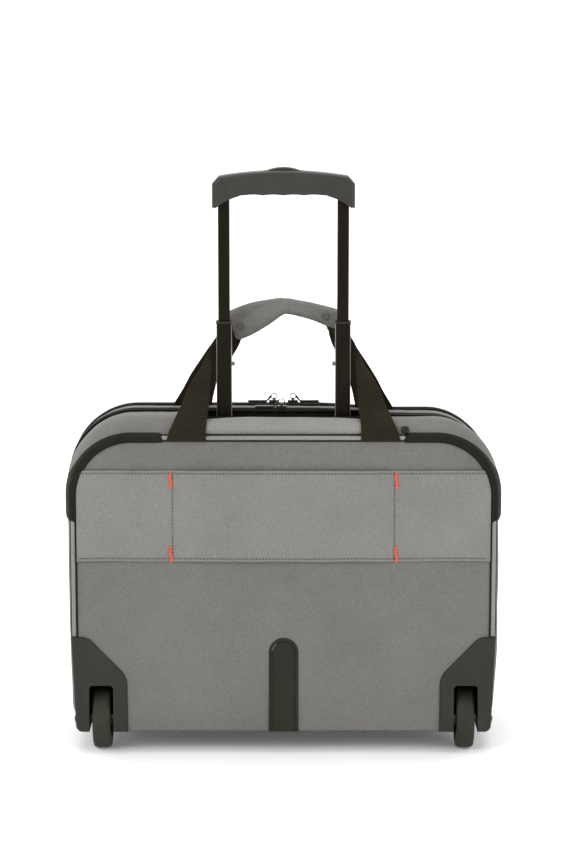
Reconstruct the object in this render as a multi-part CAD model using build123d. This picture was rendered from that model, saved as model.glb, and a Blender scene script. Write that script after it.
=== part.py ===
"""Rolling laptop case: soft shell on a wheeled base, with a three-stage telescopic handle.

Frame: origin on the floor under the middle of the case, +Z up, +X to the right when the case is
seen from its wheel side, and the wheel side faces -Y. Units are millimetres.
"""
from build123d import *
import os

os.makedirs("parts", exist_ok=True)

# ---------------------------------------------------------------- driving dimensions
HALF_WIDTH = 227.0          # widest half-width of the soft shell
REAR_HALF_WIDTH = 218.0     # half-width of the shell at its rear panel
HALF_DEPTH = 105.0          # rear panel at -HALF_DEPTH, front panel at +HALF_DEPTH
FLOOR_GAP = 23.0            # underside of the shell above the floor
TOP = 357.0                 # top of the shell
TOP_CORNER_R = 70.0
BOTTOM_CORNER_R = 24.0
REAR_SHOULDER_R = 22.0
FRONT_SHOULDER_R = 45.0
LID_SLOPE_FROM = 1.0        # the lid's top slopes down from here
LID_SLOPE_DROP = 18.0
WALL = 4.0                  # padded fabric wall
BIG = 900.0                 # larger than the case, for cutting

TRAY_TOP = 32.0             # rim of the moulded base tray
ZIP_REAR_Y = -43.5          # zipper between the rear and the laptop compartment
ZIP_REAR_HALF = 3.5
ZIP_LID_Y = -3.5            # coil line of the lid zipper
LID_FROM = 1.6              # rear edge of the lid
TAPE_WIDTH = 7.0
LID_HINGE = (0.0, 104.0, 30.0)

TUBE_X = 62.0               # telescopic tubes, left and right of the middle
TUBE_Y = -62.0
TUBE_WALL = 1.2
STAGE_SIZE = {"outer": (24.0, 26.0), "stage1": (20.0, 22.0), "stage2": (16.0, 18.0), "stage3": (12.0, 14.0)}
STAGE_SPAN = {"outer": (44.0, 336.0), "stage1": (52.0, 349.0), "stage2": (160.0, 451.0), "stage3": (290.0, 589.0)}
PIN_Z = 408.0
PIN_R = 2.2
PIN_SPAN = (50.9, 55.8)     # x of the lock pin's tip and of its inner end
PIN_SLOT_HALF = 2.7
STAGE2_DROP = 98.0          # how far the second stage goes down from rest

GRIP_HALF = 74.0
GRIP_DEPTH_HALF = 14.7
GRIP_TOP = 609.6
GRIP_END_TOP = 604.0
GRIP_SPLIT = 589.0
GRIP_UNDER = 584.6
GRIP_BOTTOM = 571.7
SOCKET_INNER = 50.0
GRIP_R = 4.5
FINGER_X = (-31.5, -10.5, 10.5, 31.5)   # shallow finger waves under the grip
FINGER_R = 60.0
FINGER_RISE = 0.8
BUTTON_HALF = 19.5
BUTTON_TOP = 613.0

OVERALL_HALF_DEPTH = 113.0  # rear of the tyres and front of the large pocket
WHEEL_X = 191.5
WHEEL_R = 33.0
WHEEL_Y = WHEEL_R - OVERALL_HALF_DEPTH
WHEEL_WIDTH = 19.0
RIM_R = 24.0
BEARING_R = 8.0
BEARING_WIDTH = 5.0
AXLE_R = 3.0
RUNNING_GAP = 0.05
HOUSING_REAR = -110.0
HOUSING_FRONT = -40.2
HOUSING_WALL = 3.0
HOUSING_SIDE = 222.5        # outer side of the housing's rear plate
HOUSING_INSIDE = 216.0      # outer side of its body, inside the fabric
HOUSING_TAPER = 4.5         # how much narrower the plate is at its foot
HOUSING_PLATE = 14.0        # depth of the rear plate
HOUSING_TOP = 125.0
HOUSING_INNER = 163.8       # inner side, by the middle of the case
SHOULDER = ((205.0, 125.0), (163.8, 82.5))   # x and z of the ends of its sloping shoulder
SHOULDER_R = (16.0, 22.0)
HOUSING_LOW_R = 7.0
HOUSING_EDGE_R = 2.5
HOUSING_SCREW_X = (171.5, 210.0)
HOUSING_SCREW_Y = -70.0
HUB_DISH = 3.5              # depth of the dished hub faces
TYRE_EDGE_R = 3.5
WELL_HALF = 12.7
WELL_R = 37.6
SLOT_TOP = 73.5             # top of the wheel slot in the housing's rear face

SLEEVE_Z = (207.0, 302.0)
SLEEVE_STITCH_X = 117.0
SLEEVE_GAP = 5.0
SLEEVE_CLOTH = 1.4
BEZEL = (86.0, -80.5, -47.2, 336.0, 353.0)   # half-width, rear y, front y, bottom z, top z
BEZEL_FLOOR = 346.0
STRAP_THICK = 3.0


def save(shape, name):
    """Write one named piece."""
    export_step(shape, f"parts/{name}.step")


def block(x0, x1, y0, y1, z0, z1):
    """Axis-aligned box from its limits."""
    return Pos((x0 + x1) / 2, (y0 + y1) / 2, (z0 + z1) / 2) * Box(x1 - x0, y1 - y0, z1 - z0)


def mirrored(shape):
    """The same piece on the other side of the case."""
    return mirror(shape, about=Plane.YZ)


def rod_x(x0, x1, y, z, radius):
    """Round rod along X."""
    return Pos((x0 + x1) / 2, y, z) * Rot(0, 90, 0) * Cylinder(radius, abs(x1 - x0))


def rounded_face(a0, a1, b0, b1, low_r, high_r):
    """Rectangle with one radius on its two low corners and another on its two high corners."""
    face = Pos((a0 + a1) / 2, (b0 + b1) / 2) * Rectangle(a1 - a0, b1 - b0)
    face = fillet(face.vertices().sort_by(Axis.Y)[-2:], high_r)
    low = [v for v in face.vertices() if abs(v.Y - b0) < 1e-6]
    return fillet(low, low_r)


def front_outline(half, low, high, low_r, high_r):
    """Prism along Y with the outline that the case shows from behind."""
    return extrude(Plane.XZ * rounded_face(-half, half, low, high, low_r, high_r), BIG, both=True)


def side_outline(inset):
    """Prism along X with the outline that the case shows from its side."""
    y0, y1 = -HALF_DEPTH + inset, HALF_DEPTH - inset
    z0, z1 = FLOOR_GAP + inset, TOP - inset
    front_top = z1 - LID_SLOPE_DROP
    face = make_face(Polyline((y0, z0), (y1, z0), (y1, front_top), (LID_SLOPE_FROM, z1), (y0, z1), close=True))
    corners = [(y0, z1, REAR_SHOULDER_R - inset), (y1, front_top, FRONT_SHOULDER_R - inset), (y1, z0, 10 - inset)]
    for cy, cz, radius in corners:
        at = [v for v in face.vertices() if abs(v.X - cy) + abs(v.Y - cz) < 1e-6]
        face = fillet(at, radius)
    return extrude(Plane.YZ * face, BIG, both=True)


def plan_outline(inset):
    """Prism along Z with the outline that the case shows from above: its sides belly out."""
    wide, narrow = HALF_WIDTH - inset, REAR_HALF_WIDTH - inset
    rear, front = -HALF_DEPTH + inset, HALF_DEPTH - inset
    belly = -60.0
    points = [(-narrow, rear), (narrow, rear), (wide, belly), (wide, front), (-wide, front), (-wide, belly)]
    face = make_face(Polyline(points, close=True))
    face = fillet([v for v in face.vertices() if abs(v.Y - front) < 1e-6], 42 - inset)
    face = fillet([v for v in face.vertices() if abs(v.Y - belly) < 1e-6], 60)
    return extrude(face, BIG, both=True)


def shell_solid(inset):
    """The soft shell's outer shape, moved inwards by inset."""
    body = front_outline(
        HALF_WIDTH - inset, FLOOR_GAP + inset, TOP - inset, BOTTOM_CORNER_R - inset, TOP_CORNER_R - inset
    )
    return body & side_outline(inset) & plan_outline(inset)


def wall(outer, inner, y0, y1, z0=TRAY_TOP + 0.1, z1=BIG):
    """Slice of the shell's wall between two depths."""
    return (outer - inner) & block(-BIG, BIG, y0, y1, z0, z1)


SHELL = shell_solid(0)
SHELL_IN = shell_solid(WALL)
SHELL_PROUD = shell_solid(-2)


# ---------------------------------------------------------------- wheel housings
def housing_prism(inset, y0, y1, side=HOUSING_SIDE):
    """Left wheel housing's outline: square outer side, sloping inner shoulder with round ends."""
    left, right = -side + inset, -HOUSING_INNER - inset
    low, high = FLOOR_GAP + inset, HOUSING_TOP - inset
    drop = inset * 0.4
    upper_end = (-SHOULDER[0][0] - drop, high)
    lower_end = (right, SHOULDER[1][1] - drop)
    taper = HOUSING_TAPER if side == HOUSING_SIDE else 0
    points = [(left + taper, low), (right, low), lower_end, upper_end, (left, high)]
    face = make_face(Polyline(points, close=True))
    for corner, radius in ((upper_end, SHOULDER_R[0]), (lower_end, SHOULDER_R[1]), (points[0], HOUSING_LOW_R)):
        at = [v for v in face.vertices() if abs(v.X - corner[0]) + abs(v.Y - corner[1]) < 1e-6]
        face = fillet(at, radius)
    return Pos(0, y1, 0) * extrude(Plane.XZ * face, y1 - y0)


def wheel_well(radius, half):
    """Space around the left wheel, open below and behind."""
    across = rod_x(-WHEEL_X - half, -WHEEL_X + half, WHEEL_Y, WHEEL_R, radius)
    below = block(-WHEEL_X - half, -WHEEL_X + half, WHEEL_Y - radius, WHEEL_Y + radius, -5, WHEEL_R)
    behind = block(-WHEEL_X - half, -WHEEL_X + half, -BIG, WHEEL_Y, -5, SLOT_TOP - WELL_R + radius)
    behind = fillet(behind.edges().filter_by(Axis.Y).group_by(Axis.Z)[-1], 4)
    return across + below + behind


PLATE_FRONT = HOUSING_REAR + HOUSING_PLATE
HOUSING_CUT = housing_prism(0, -130, PLATE_FRONT) + housing_prism(0, PLATE_FRONT, HOUSING_FRONT, HOUSING_INSIDE)
BOTH_HOUSINGS = HOUSING_CUT + mirrored(HOUSING_CUT)

plate = housing_prism(0, HOUSING_REAR, PLATE_FRONT)
rim = plate.faces().sort_by(Axis.Y)[0].edges().filter_by(lambda e: e.center().Z > FLOOR_GAP + 1)
plate = fillet(rim, HOUSING_EDGE_R)
housing = plate + housing_prism(0, PLATE_FRONT, HOUSING_FRONT, HOUSING_INSIDE)
hollow = housing_prism(HOUSING_WALL, HOUSING_REAR + HOUSING_WALL, HOUSING_FRONT - HOUSING_WALL, HOUSING_INSIDE)
core = wheel_well(WELL_R + HOUSING_WALL, WELL_HALF + HOUSING_WALL)
housing = housing - (hollow - core) - wheel_well(WELL_R, WELL_HALF)
axle_reach = WELL_HALF + HOUSING_WALL
axle_hole = rod_x(-WHEEL_X - axle_reach, -WHEEL_X + axle_reach, WHEEL_Y, WHEEL_R, AXLE_R)
housing -= axle_hole
save(housing, "wheel_housing_left")
save(mirrored(housing), "wheel_housing_right")
axle = rod_x(-WHEEL_X - axle_reach, -WHEEL_X + axle_reach, WHEEL_Y, WHEEL_R, AXLE_R)
save(Compound(children=[axle, mirrored(axle)]), "wheel_axles")

SCREW_R = 3.2
SCREW_HEAD = 0.8
SCREW_SOCKET_R = 1.3
screws = []
for side in (-1, 1):
    for x in HOUSING_SCREW_X:
        head = Pos(side * x, HOUSING_SCREW_Y, FLOOR_GAP - SCREW_HEAD / 2) * Cylinder(SCREW_R, SCREW_HEAD)
        socket = Pos(side * x, HOUSING_SCREW_Y, FLOOR_GAP - SCREW_HEAD) * Cylinder(SCREW_SOCKET_R, SCREW_HEAD)
        screws.append(head - socket)
save(Compound(children=screws), "housing_screws")


def wheel(side):
    """Tyre, hub and its two bearings, all coaxial along X."""
    x = side * WHEEL_X
    half = WHEEL_WIDTH / 2
    ring = rod_x(x - half, x + half, WHEEL_Y, WHEEL_R, WHEEL_R)
    ring = fillet(ring.edges(), TYRE_EDGE_R)
    tyre = ring - rod_x(x - half - 1, x + half + 1, WHEEL_Y, WHEEL_R, RIM_R)
    hub = rod_x(x - half + 0.5, x + half - 0.5, WHEEL_Y, WHEEL_R, RIM_R)
    for end in (-1, 1):
        dish_from, dish_to = x + end * (half - 0.5), x + end * (half - 0.5 - HUB_DISH)
        dish = rod_x(dish_from, dish_to, WHEEL_Y, WHEEL_R, RIM_R - 3)
        boss = rod_x(dish_from, dish_to, WHEEL_Y, WHEEL_R, BEARING_R + 2.5)
        hub -= dish - boss
    hub -= rod_x(x - half, x + half, WHEEL_Y, WHEEL_R, BEARING_R)
    bearings = []
    for end in (-1, 1):
        x_out = x + end * (half - 0.5)
        race = rod_x(x_out - end * BEARING_WIDTH, x_out, WHEEL_Y, WHEEL_R, BEARING_R)
        bearings.append(race - rod_x(x - half - 1, x + half + 1, WHEEL_Y, WHEEL_R, AXLE_R + RUNNING_GAP))
    return tyre, hub, Compound(children=bearings)


for side, word in ((-1, "left"), (1, "right")):
    tyre, hub, bearings = wheel(side)
    save(tyre, f"wheel_tyre_{word}")
    save(hub, f"wheel_hub_{word}")
    save(bearings, f"wheel_bearings_{word}")

# ---------------------------------------------------------------- soft shell on the base
bezel_half, bezel_rear, bezel_front, bezel_low, bezel_high = BEZEL
BEZEL_CUT = block(-bezel_half, bezel_half, bezel_rear, bezel_front, bezel_low, BIG)

rear_panel = SHELL & block(-BIG, BIG, -HALF_DEPTH, -HALF_DEPTH + WALL - 0.1, TRAY_TOP + 0.1, BIG)
save(rear_panel - BOTH_HOUSINGS, "rear_panel")
BOARD_Y = (-100.9, -98.5)
BOARD_HALF = 206
BOARD_Z = (38, 322)
board = front_outline(BOARD_HALF, *BOARD_Z, 18, 50) & block(-BIG, BIG, *BOARD_Y, 0, BIG)
save(board - BOTH_HOUSINGS, "back_board")
rear_gusset = wall(SHELL, SHELL_IN, -HALF_DEPTH + WALL, ZIP_REAR_Y - ZIP_REAR_HALF - 0.1)
save(rear_gusset - BOTH_HOUSINGS - BEZEL_CUT, "rear_gusset")
save(wall(SHELL, SHELL_IN, ZIP_REAR_Y + ZIP_REAR_HALF + 0.1, ZIP_LID_Y - 4.7), "middle_gusset")
zip_outer = shell_solid(-0.8)
zip_inner = shell_solid(1.6)
rear_zip_from, rear_zip_to = ZIP_REAR_Y - ZIP_REAR_HALF, ZIP_REAR_Y + ZIP_REAR_HALF
save(wall(zip_outer, zip_inner, rear_zip_from, rear_zip_to) - BOTH_HOUSINGS, "rear_zipper")
save(wall(zip_outer, zip_inner, ZIP_LID_Y - 4.6, ZIP_LID_Y + 4.6), "case_zipper")

TRAY_FRONT = 101
DIVIDER_Y = (-46.5, -43.5)
DIVIDER_TOP = 300
tray = (SHELL - SHELL_IN) & block(-BIG, BIG, -HALF_DEPTH, TRAY_FRONT, 0, TRAY_TOP)
save(tray - BOTH_HOUSINGS, "base_tray")
divider = shell_solid(WALL + 0.2) & block(-BIG, BIG, *DIVIDER_Y, TRAY_TOP, DIVIDER_TOP)
save(divider - BOTH_HOUSINGS, "divider_panel")
LAPTOP_STRAP_HALF = 19
LAPTOP_STRAP_Z = (60, 290)
strap_rear = DIVIDER_Y[1] + 0.1
laptop_strap = block(-LAPTOP_STRAP_HALF, LAPTOP_STRAP_HALF, strap_rear, strap_rear + 2.4, *LAPTOP_STRAP_Z)
save(laptop_strap, "laptop_strap")

BUMPER_END_X = 124          # where each corner bumper ends on the top edge
BUMPER_LOW = 257            # and down the side
BUMPER_FRONT = -88
inner_edge = front_outline(215.5, -20, 332, 20, 58)
bumper = (SHELL_PROUD - SHELL) & block(-BIG, -BUMPER_END_X, -120, BUMPER_FRONT, BUMPER_LOW, BIG)
bumper = bumper - inner_edge
save(bumper, "corner_bumper_left")
save(mirrored(bumper), "corner_bumper_right")
piping = (inner_edge - front_outline(212.3, -20, 328.8, 20, 55)) & block(-BIG, BIG, -107.2, -105, 40, BIG)
save(piping - BOTH_HOUSINGS, "rear_piping")
FLAP_HALF = 77
flap = (SHELL_PROUD - SHELL) & block(-FLAP_HALF, FLAP_HALF, -106, bezel_rear, bezel_low, BIG)
save(flap, "grip_flap")

# sleeve that slips over another case's handle: stitched flat at both sides, loose in the middle
loose = -HALF_DEPTH - SLEEVE_GAP
SLEEVE_END_X = 211
LOOSE_X = SLEEVE_STITCH_X - 9
path = [
    (-SLEEVE_END_X, -HALF_DEPTH),
    (-SLEEVE_STITCH_X, -HALF_DEPTH),
    (-LOOSE_X, loose),
    (LOOSE_X, loose),
    (SLEEVE_STITCH_X, -HALF_DEPTH),
    (SLEEVE_END_X, -HALF_DEPTH),
]
outside = [(x, y - SLEEVE_CLOTH) for x, y in reversed(path)]
sleeve = make_face(Polyline(path + outside, close=True))
sleeve = Pos(0, 0, SLEEVE_Z[0]) * extrude(sleeve, SLEEVE_Z[1] - SLEEVE_Z[0])
save(sleeve & front_outline(212.1, -20, 328.6, 20, 54.8), "luggage_sleeve")
TACK_Y = -HALF_DEPTH - SLEEVE_CLOTH
TACK_HALF = (1.4, 7.5)      # half-width and half-height
tacks = []
for side in (-1, 1):
    for z in (SLEEVE_Z[0] + 8, SLEEVE_Z[1] - 11):
        x = side * (SLEEVE_STITCH_X + 2.4)
        wide, high = TACK_HALF
        tacks.append(block(x - wide, x + wide, TACK_Y - 0.8, TACK_Y, z - high, z + high))
save(Compound(children=tacks), "sleeve_bartacks")


def skid_face(half, top):
    """Upright bar with a round top."""
    low = FLOOR_GAP + 0.2
    return Pos(0, (low + top - half) / 2) * Rectangle(2 * half, top - half - low) + Pos(0, top - half) * Circle(half)


SKID_HALF = 15.5
SKID_TOP = 124.5
SKID_DEPTH = 4
skid = Pos(0, -HALF_DEPTH, 0) * extrude(Plane.XZ * skid_face(SKID_HALF, SKID_TOP), SKID_DEPTH)
skid = fillet(skid.faces().sort_by(Axis.Y)[0].edges(), 1.2)
groove = skid_face(SKID_HALF - 3, SKID_TOP - 3) - skid_face(SKID_HALF - 4.5, SKID_TOP - 4.5)
skid -= Pos(0, -HALF_DEPTH - SKID_DEPTH + 1, 0) * extrude(Plane.XZ * groove, 1.5)
save(skid, "centre_skid")

FOOT_X = 165
FOOT_HALF = 18
FOOT_Y = (70, 96)
feet = []
for side in (-1, 1):
    foot = block(side * FOOT_X - FOOT_HALF, side * FOOT_X + FOOT_HALF, *FOOT_Y, 0, FLOOR_GAP)
    foot = fillet(foot.edges().filter_by(Axis.Z), 8)
    foot = fillet(foot.edges().group_by(Axis.Z)[0], 2)
    feet.append(foot)
save(Compound(children=feet), "front_feet")

# ---------------------------------------------------------------- handle's fixed parts
def tube(stage, side=-1, solid=False):
    """One rectangular tube of a handle stage."""
    wide, deep = STAGE_SIZE[stage]
    low, high = STAGE_SPAN[stage]
    bar = Pos(side * TUBE_X, TUBE_Y, (low + high) / 2) * Box(wide, deep, high - low)
    bar = fillet(bar.edges().filter_by(Axis.Z), 2.4)
    if solid:
        return bar
    inner = Pos(side * TUBE_X, TUBE_Y, (low + high) / 2) * Box(wide - 2 * TUBE_WALL, deep - 2 * TUBE_WALL, BIG)
    return bar - fillet(inner.edges().filter_by(Axis.Z), 1.4)


def pin_slot(z0, z1, depth=5.5):
    """Slot on the inner side of the left tubes, where the lock pin passes."""
    return block(-TUBE_X + depth, -49.0, TUBE_Y - PIN_SLOT_HALF, TUBE_Y + PIN_SLOT_HALF, z0, z1)


PIN_LOW = PIN_Z - STAGE2_DROP - 5
outer = tube("outer") - pin_slot(PIN_LOW, BIG)
save(Compound(children=[outer, mirrored(outer)]), "outer_tubes")
BRACKET_HALF = 82
BRACKET_Y = (-80, -46.8)
bracket_low = FLOOR_GAP + WALL + 1
bracket_high = STAGE_SPAN["outer"][0]
foot_bracket = block(-BRACKET_HALF, BRACKET_HALF, *BRACKET_Y, bracket_low, bracket_high)
foot_bracket = fillet(foot_bracket.edges().filter_by(Axis.Z), 5)
foot_bracket -= block(-45, 45, -85, -40, bracket_low + 6, bracket_high + 6)
save(foot_bracket, "tube_foot_bracket")

bezel = block(-bezel_half, bezel_half, bezel_rear, bezel_front, bezel_low, bezel_high)
bezel = fillet(bezel.edges().filter_by(Axis.Z), 3)
bezel -= block(-bezel_half + 3, bezel_half - 3, bezel_rear + 2.5, bezel_front - 2.2, BEZEL_FLOOR, BIG)
hole = Pos(-TUBE_X, TUBE_Y, 340) * Box(20.8, 22.8, 60) + pin_slot(300, BIG)
save(bezel - hole - mirrored(hole), "handle_bezel")

# ---------------------------------------------------------------- handle's moving stages
stage1 = tube("stage1") - pin_slot(PIN_LOW, BIG)
save(Compound(children=[stage1, mirrored(stage1)]), "handle_stage1_tubes")

pin_hole = rod_x(-PIN_SPAN[1] - 1, -PIN_SPAN[0], TUBE_Y, PIN_Z, PIN_R + 0.1)
stage2 = tube("stage2") - pin_hole
collar = Pos(-TUBE_X, TUBE_Y, STAGE_SPAN["stage2"][1] + 1) * Box(17, 19, 2)
collar = fillet(collar.edges().filter_by(Axis.Z), 2.6)
collar -= Pos(-TUBE_X, TUBE_Y, 452) * Box(13.2, 15.2, 20) + block(-58, -52, -64.7, -59.3, 440, 470)
save(Compound(children=[stage2, mirrored(stage2)]), "handle_stage2_tubes")
save(Compound(children=[collar, mirrored(collar)]), "stage2_collars")

stage3 = tube("stage3") - pin_slot(300, 545, depth=3.0)
save(Compound(children=[stage3, mirrored(stage3)]), "handle_stage3_tubes")

pin = rod_x(-PIN_SPAN[1], -PIN_SPAN[0], TUBE_Y, PIN_Z, PIN_R)
save(pin, "lock_pin_left")
save(mirrored(pin), "lock_pin_right")

# grip: upper shell, lower shell with finger waves, button, push rods and springs
top_line = ThreePointArc((-GRIP_HALF + 7, GRIP_END_TOP), (0, GRIP_TOP), (GRIP_HALF - 7, GRIP_END_TOP))
right_end = Line((GRIP_HALF - 7, GRIP_END_TOP), (GRIP_HALF, GRIP_END_TOP - 8))
rest_line = Polyline(
    (GRIP_HALF, GRIP_END_TOP - 8), (GRIP_HALF, GRIP_SPLIT), (-GRIP_HALF, GRIP_SPLIT), (-GRIP_HALF, GRIP_END_TOP - 8)
)
left_end = Line((-GRIP_HALF, GRIP_END_TOP - 8), (-GRIP_HALF + 7, GRIP_END_TOP))
upper_face = make_face(top_line + right_end + rest_line + left_end)
upper = Pos(0, TUBE_Y, 0) * extrude(Plane.XZ * upper_face, GRIP_DEPTH_HALF, both=True)
long_edges = upper.edges().filter_by(lambda e: e.center().Z > GRIP_SPLIT + 1 and abs(e.center().Y - TUBE_Y) > 10)
upper = fillet(long_edges, GRIP_R)
BUTTON_DEPTH_HALF = 7.5
BUTTON_SIDE_Z = 608.8       # top of the button at its two ends
BUTTON_GAP = 0.4
BRIDGE_Z = (595.5, 598.5)
BRIDGE_HALF = (65, 3)       # half-length and half-depth of the bar under the button
pit_half, pit_deep = BUTTON_HALF + BUTTON_GAP, BUTTON_DEPTH_HALF + BUTTON_GAP
BUTTON_PIT = block(-pit_half, pit_half, TUBE_Y - pit_deep, TUBE_Y + pit_deep, 594.5, BIG)
room_half, room_deep = BRIDGE_HALF[0] + 2, BRIDGE_HALF[1] + 1.5
BRIDGE_ROOM = block(-room_half, room_half, TUBE_Y - room_deep, TUBE_Y + room_deep, GRIP_SPLIT, BRIDGE_Z[1] + 2)
save(upper - BUTTON_PIT - BRIDGE_ROOM, "grip_upper_shell")

lower = block(-GRIP_HALF, GRIP_HALF, TUBE_Y - GRIP_DEPTH_HALF, TUBE_Y + GRIP_DEPTH_HALF, GRIP_BOTTOM, GRIP_SPLIT)
gap = block(-SOCKET_INNER, SOCKET_INNER, -90, -40, GRIP_BOTTOM - 1, GRIP_UNDER)
gap = fillet(gap.edges().filter_by(Axis.Y).group_by(Axis.Z)[-1], 7)
for x in FINGER_X:
    gap += Pos(x, TUBE_Y, GRIP_UNDER + FINGER_RISE - FINGER_R) * Rot(90, 0, 0) * Cylinder(FINGER_R, 60)
lower -= gap
sockets = Pos(-TUBE_X, TUBE_Y, 580) * fillet(Box(12, 14, 40).edges().filter_by(Axis.Z), 2.4)
lower = lower - sockets - mirrored(sockets)
end_edges = lower.edges().filter_by(Axis.Z).filter_by(lambda e: abs(e.center().X) > GRIP_HALF - 1)
lower = fillet(end_edges, GRIP_R)
save(lower, "grip_lower_shell")

left_top, right_top = (-BUTTON_HALF, BUTTON_SIDE_Z), (BUTTON_HALF, BUTTON_SIDE_Z)
button_face = make_face(
    ThreePointArc(left_top, (0, BUTTON_TOP), right_top)
    + Polyline(right_top, (BUTTON_HALF, BRIDGE_Z[1]), (-BUTTON_HALF, BRIDGE_Z[1]), left_top)
)
button = Pos(0, TUBE_Y, 0) * extrude(Plane.XZ * button_face, BUTTON_DEPTH_HALF, both=True)
button = fillet(button.edges().filter_by(Axis.Z), 6)
button = fillet(button.edges().filter_by(lambda e: e.center().Z > BUTTON_SIDE_Z - 0.9), 2)
save(button, "release_button")
ROD_LOW = 414
ROD_R = 2
rods = block(-BRIDGE_HALF[0], BRIDGE_HALF[0], TUBE_Y - BRIDGE_HALF[1], TUBE_Y + BRIDGE_HALF[1], *BRIDGE_Z)
for side in (-1, 1):
    rods += Pos(side * TUBE_X, TUBE_Y, (ROD_LOW + BRIDGE_Z[0]) / 2) * Cylinder(ROD_R, BRIDGE_Z[0] - ROD_LOW)
save(rods, "push_rods")
SPRING_X = 30
SPRING_R = (3.2, 2.3)
springs = []
for side in (-1, 1):
    low, high = GRIP_SPLIT + 0.1, BRIDGE_Z[0] - 0.1
    ring = Cylinder(SPRING_R[0], high - low) - Cylinder(SPRING_R[1], high - low)
    springs.append(Pos(side * SPRING_X, TUBE_Y, (low + high) / 2) * ring)
save(Compound(children=springs), "button_springs")


# ---------------------------------------------------------------- carry handle
def strap(thickness, stations):
    """Flat webbing through stations of (inner edge, outer edge), as thick as the given vector."""
    faces = []
    for a, b in stations:
        back = [Vector(*a), Vector(*b)]
        front = [v + Vector(*thickness) for v in back]
        faces.append(make_face(Polyline(back[0], back[1], front[1], front[0], close=True)))
    piece = loft(faces[0:2], ruled=True)
    for low, high in zip(faces[1:], faces[2:]):
        piece += loft([low, high], ruled=True)
    return piece


near = strap((0, -STRAP_THICK * 0.77, STRAP_THICK * 0.63), [
    ((-80.5, -105.3, 333), (-118, -105.3, 333)),
    ((-80.5, -105.2, 341.5), (-117.5, -105.2, 341.5)),
    ((-79, -92, 365), (-109, -92, 365)),
    ((-77.5, -78, 381), (-101, -78, 381)),
    ((-76.5, -62, 404), (-87, -62, 404)),
    ((-75.5, -46, 424), (-79, -46, 434)),
    ((-71.5, -41, 428), (-73.5, -41, 444)),
])
far = strap((0, STRAP_THICK, 0), [
    ((-77, -16, 359), (-114, -16, 359)),
    ((-70, -18, 383), (-101, -18, 388)),
    ((-71, -20, 402), (-88, -20, 407)),
    ((-71.5, -24, 420), (-76, -24, 432)),
])
save(near, "carry_strap_rear_left")
save(mirrored(near), "carry_strap_rear_right")
save(far, "carry_strap_front_left")
save(mirrored(far), "carry_strap_front_right")

WRAP_Y = (-46.0, -14.0)
wrap_top = [(-70.5, 450), (-51, 463), (-28, 470.5), (0, 474), (28, 470.5), (51, 463), (70.5, 450)]
wrap_low = [(70.5, 420), (46, 428), (22, 441), (0, 454), (-22, 441), (-46, 428), (-70.5, 420)]
wrap_face = make_face(Polyline(wrap_top + wrap_low, close=True))
wrap = Pos(0, WRAP_Y[1], 0) * extrude(Plane.XZ * wrap_face, WRAP_Y[1] - WRAP_Y[0])
save(wrap, "carry_wrap")
SNAP_AT = (44.5, 443)
SNAP_R = 4.5
SNAP_THICK = 0.8
snaps = []
for side in (-1, 1):
    place = Pos(side * SNAP_AT[0], WRAP_Y[0] - SNAP_THICK / 2, SNAP_AT[1])
    snaps.append(place * Rot(90, 0, 0) * Cylinder(SNAP_R, SNAP_THICK))
save(Compound(children=snaps), "wrap_snaps")

# ---------------------------------------------------------------- lid
PANEL_FROM = 60             # where the front panel's curve starts
save(wall(SHELL, SHELL_IN, LID_FROM + TAPE_WIDTH + 0.1, PANEL_FROM), "lid_gusset")
save(wall(SHELL, SHELL_IN, PANEL_FROM + 0.1, HALF_DEPTH), "front_panel")
save(wall(zip_outer, zip_inner, LID_FROM, LID_FROM + TAPE_WIDTH), "lid_zipper")
big_pocket = block(-178, 178, HALF_DEPTH, OVERALL_HALF_DEPTH, 48, 205)
big_pocket = fillet(big_pocket.edges().filter_by(Axis.Y), 22)
big_pocket = fillet(big_pocket.faces().sort_by(Axis.Y)[-1].edges(), 4)
save(big_pocket, "front_pocket")
small_pocket = block(-160, 160, HALF_DEPTH, 109, 218, 300)
small_pocket = fillet(small_pocket.edges().filter_by(Axis.Y), 18)
small_pocket = fillet(small_pocket.faces().sort_by(Axis.Y)[-1].edges(), 2.5)
save(small_pocket, "upper_pocket")
HINGE_TAPE_HALF = 170
hinge_tape = block(-HINGE_TAPE_HALF, HINGE_TAPE_HALF, TRAY_FRONT + 0.2, HALF_DEPTH - 0.4, 24.5, TRAY_TOP - 0.2)
save(hinge_tape, "lid_hinge_tape")


# ---------------------------------------------------------------- zipper sliders and pulls
ZIP_TOP = TOP + 0.8
RING_RISE = 7.1             # ring centre above the zipper tape
RING_R = 3.1
RING_WIRE = 0.5
TAB_REACH = 28.0


def slider(x, y, top):
    """Zipper slider riding on top of the coil, long way along X, with a bridge across it."""
    body = block(x - 5.5, x + 5.5, y - 3.6, y + 3.6, top + 0.3, top + 3.0)
    body = fillet(body.edges().filter_by(Axis.Z), 2)
    bridge = block(x - 1, x + 1, y - 3, y + 3, top + 3.0, top + 5.6)
    return body + (bridge - block(x - 2, x + 2, y - 1.7, y + 1.7, top + 3.0, top + 4.9))


def pull(x, y, top, way):
    """Wire ring through the bridge, with a tab on it that lies along the zipper."""
    centre = top + RING_RISE
    ring = Pos(x, y, centre) * Rot(90, 0, 0) * Torus(RING_R, RING_WIRE)
    near, far = x + way * (RING_R - 0.2), x + way * (RING_R + 5)
    neck = [(near, centre + 1), (near, centre - 1), (far, top + 0.9), (far, top + 2.9), (near + way * 1.5, centre + 1)]
    neck = Pos(0, y, 0) * extrude(Plane.XZ * make_face(Polyline(neck, close=True)), 0.9, both=True)
    reach = (far, x + way * TAB_REACH)
    tab = block(min(reach), max(reach), y - 3.2, y + 3.2, top + 0.9, top + 2.9)
    tab = fillet(tab.edges().filter_by(Axis.Z), 1.2)
    return ring + neck + tab


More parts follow.
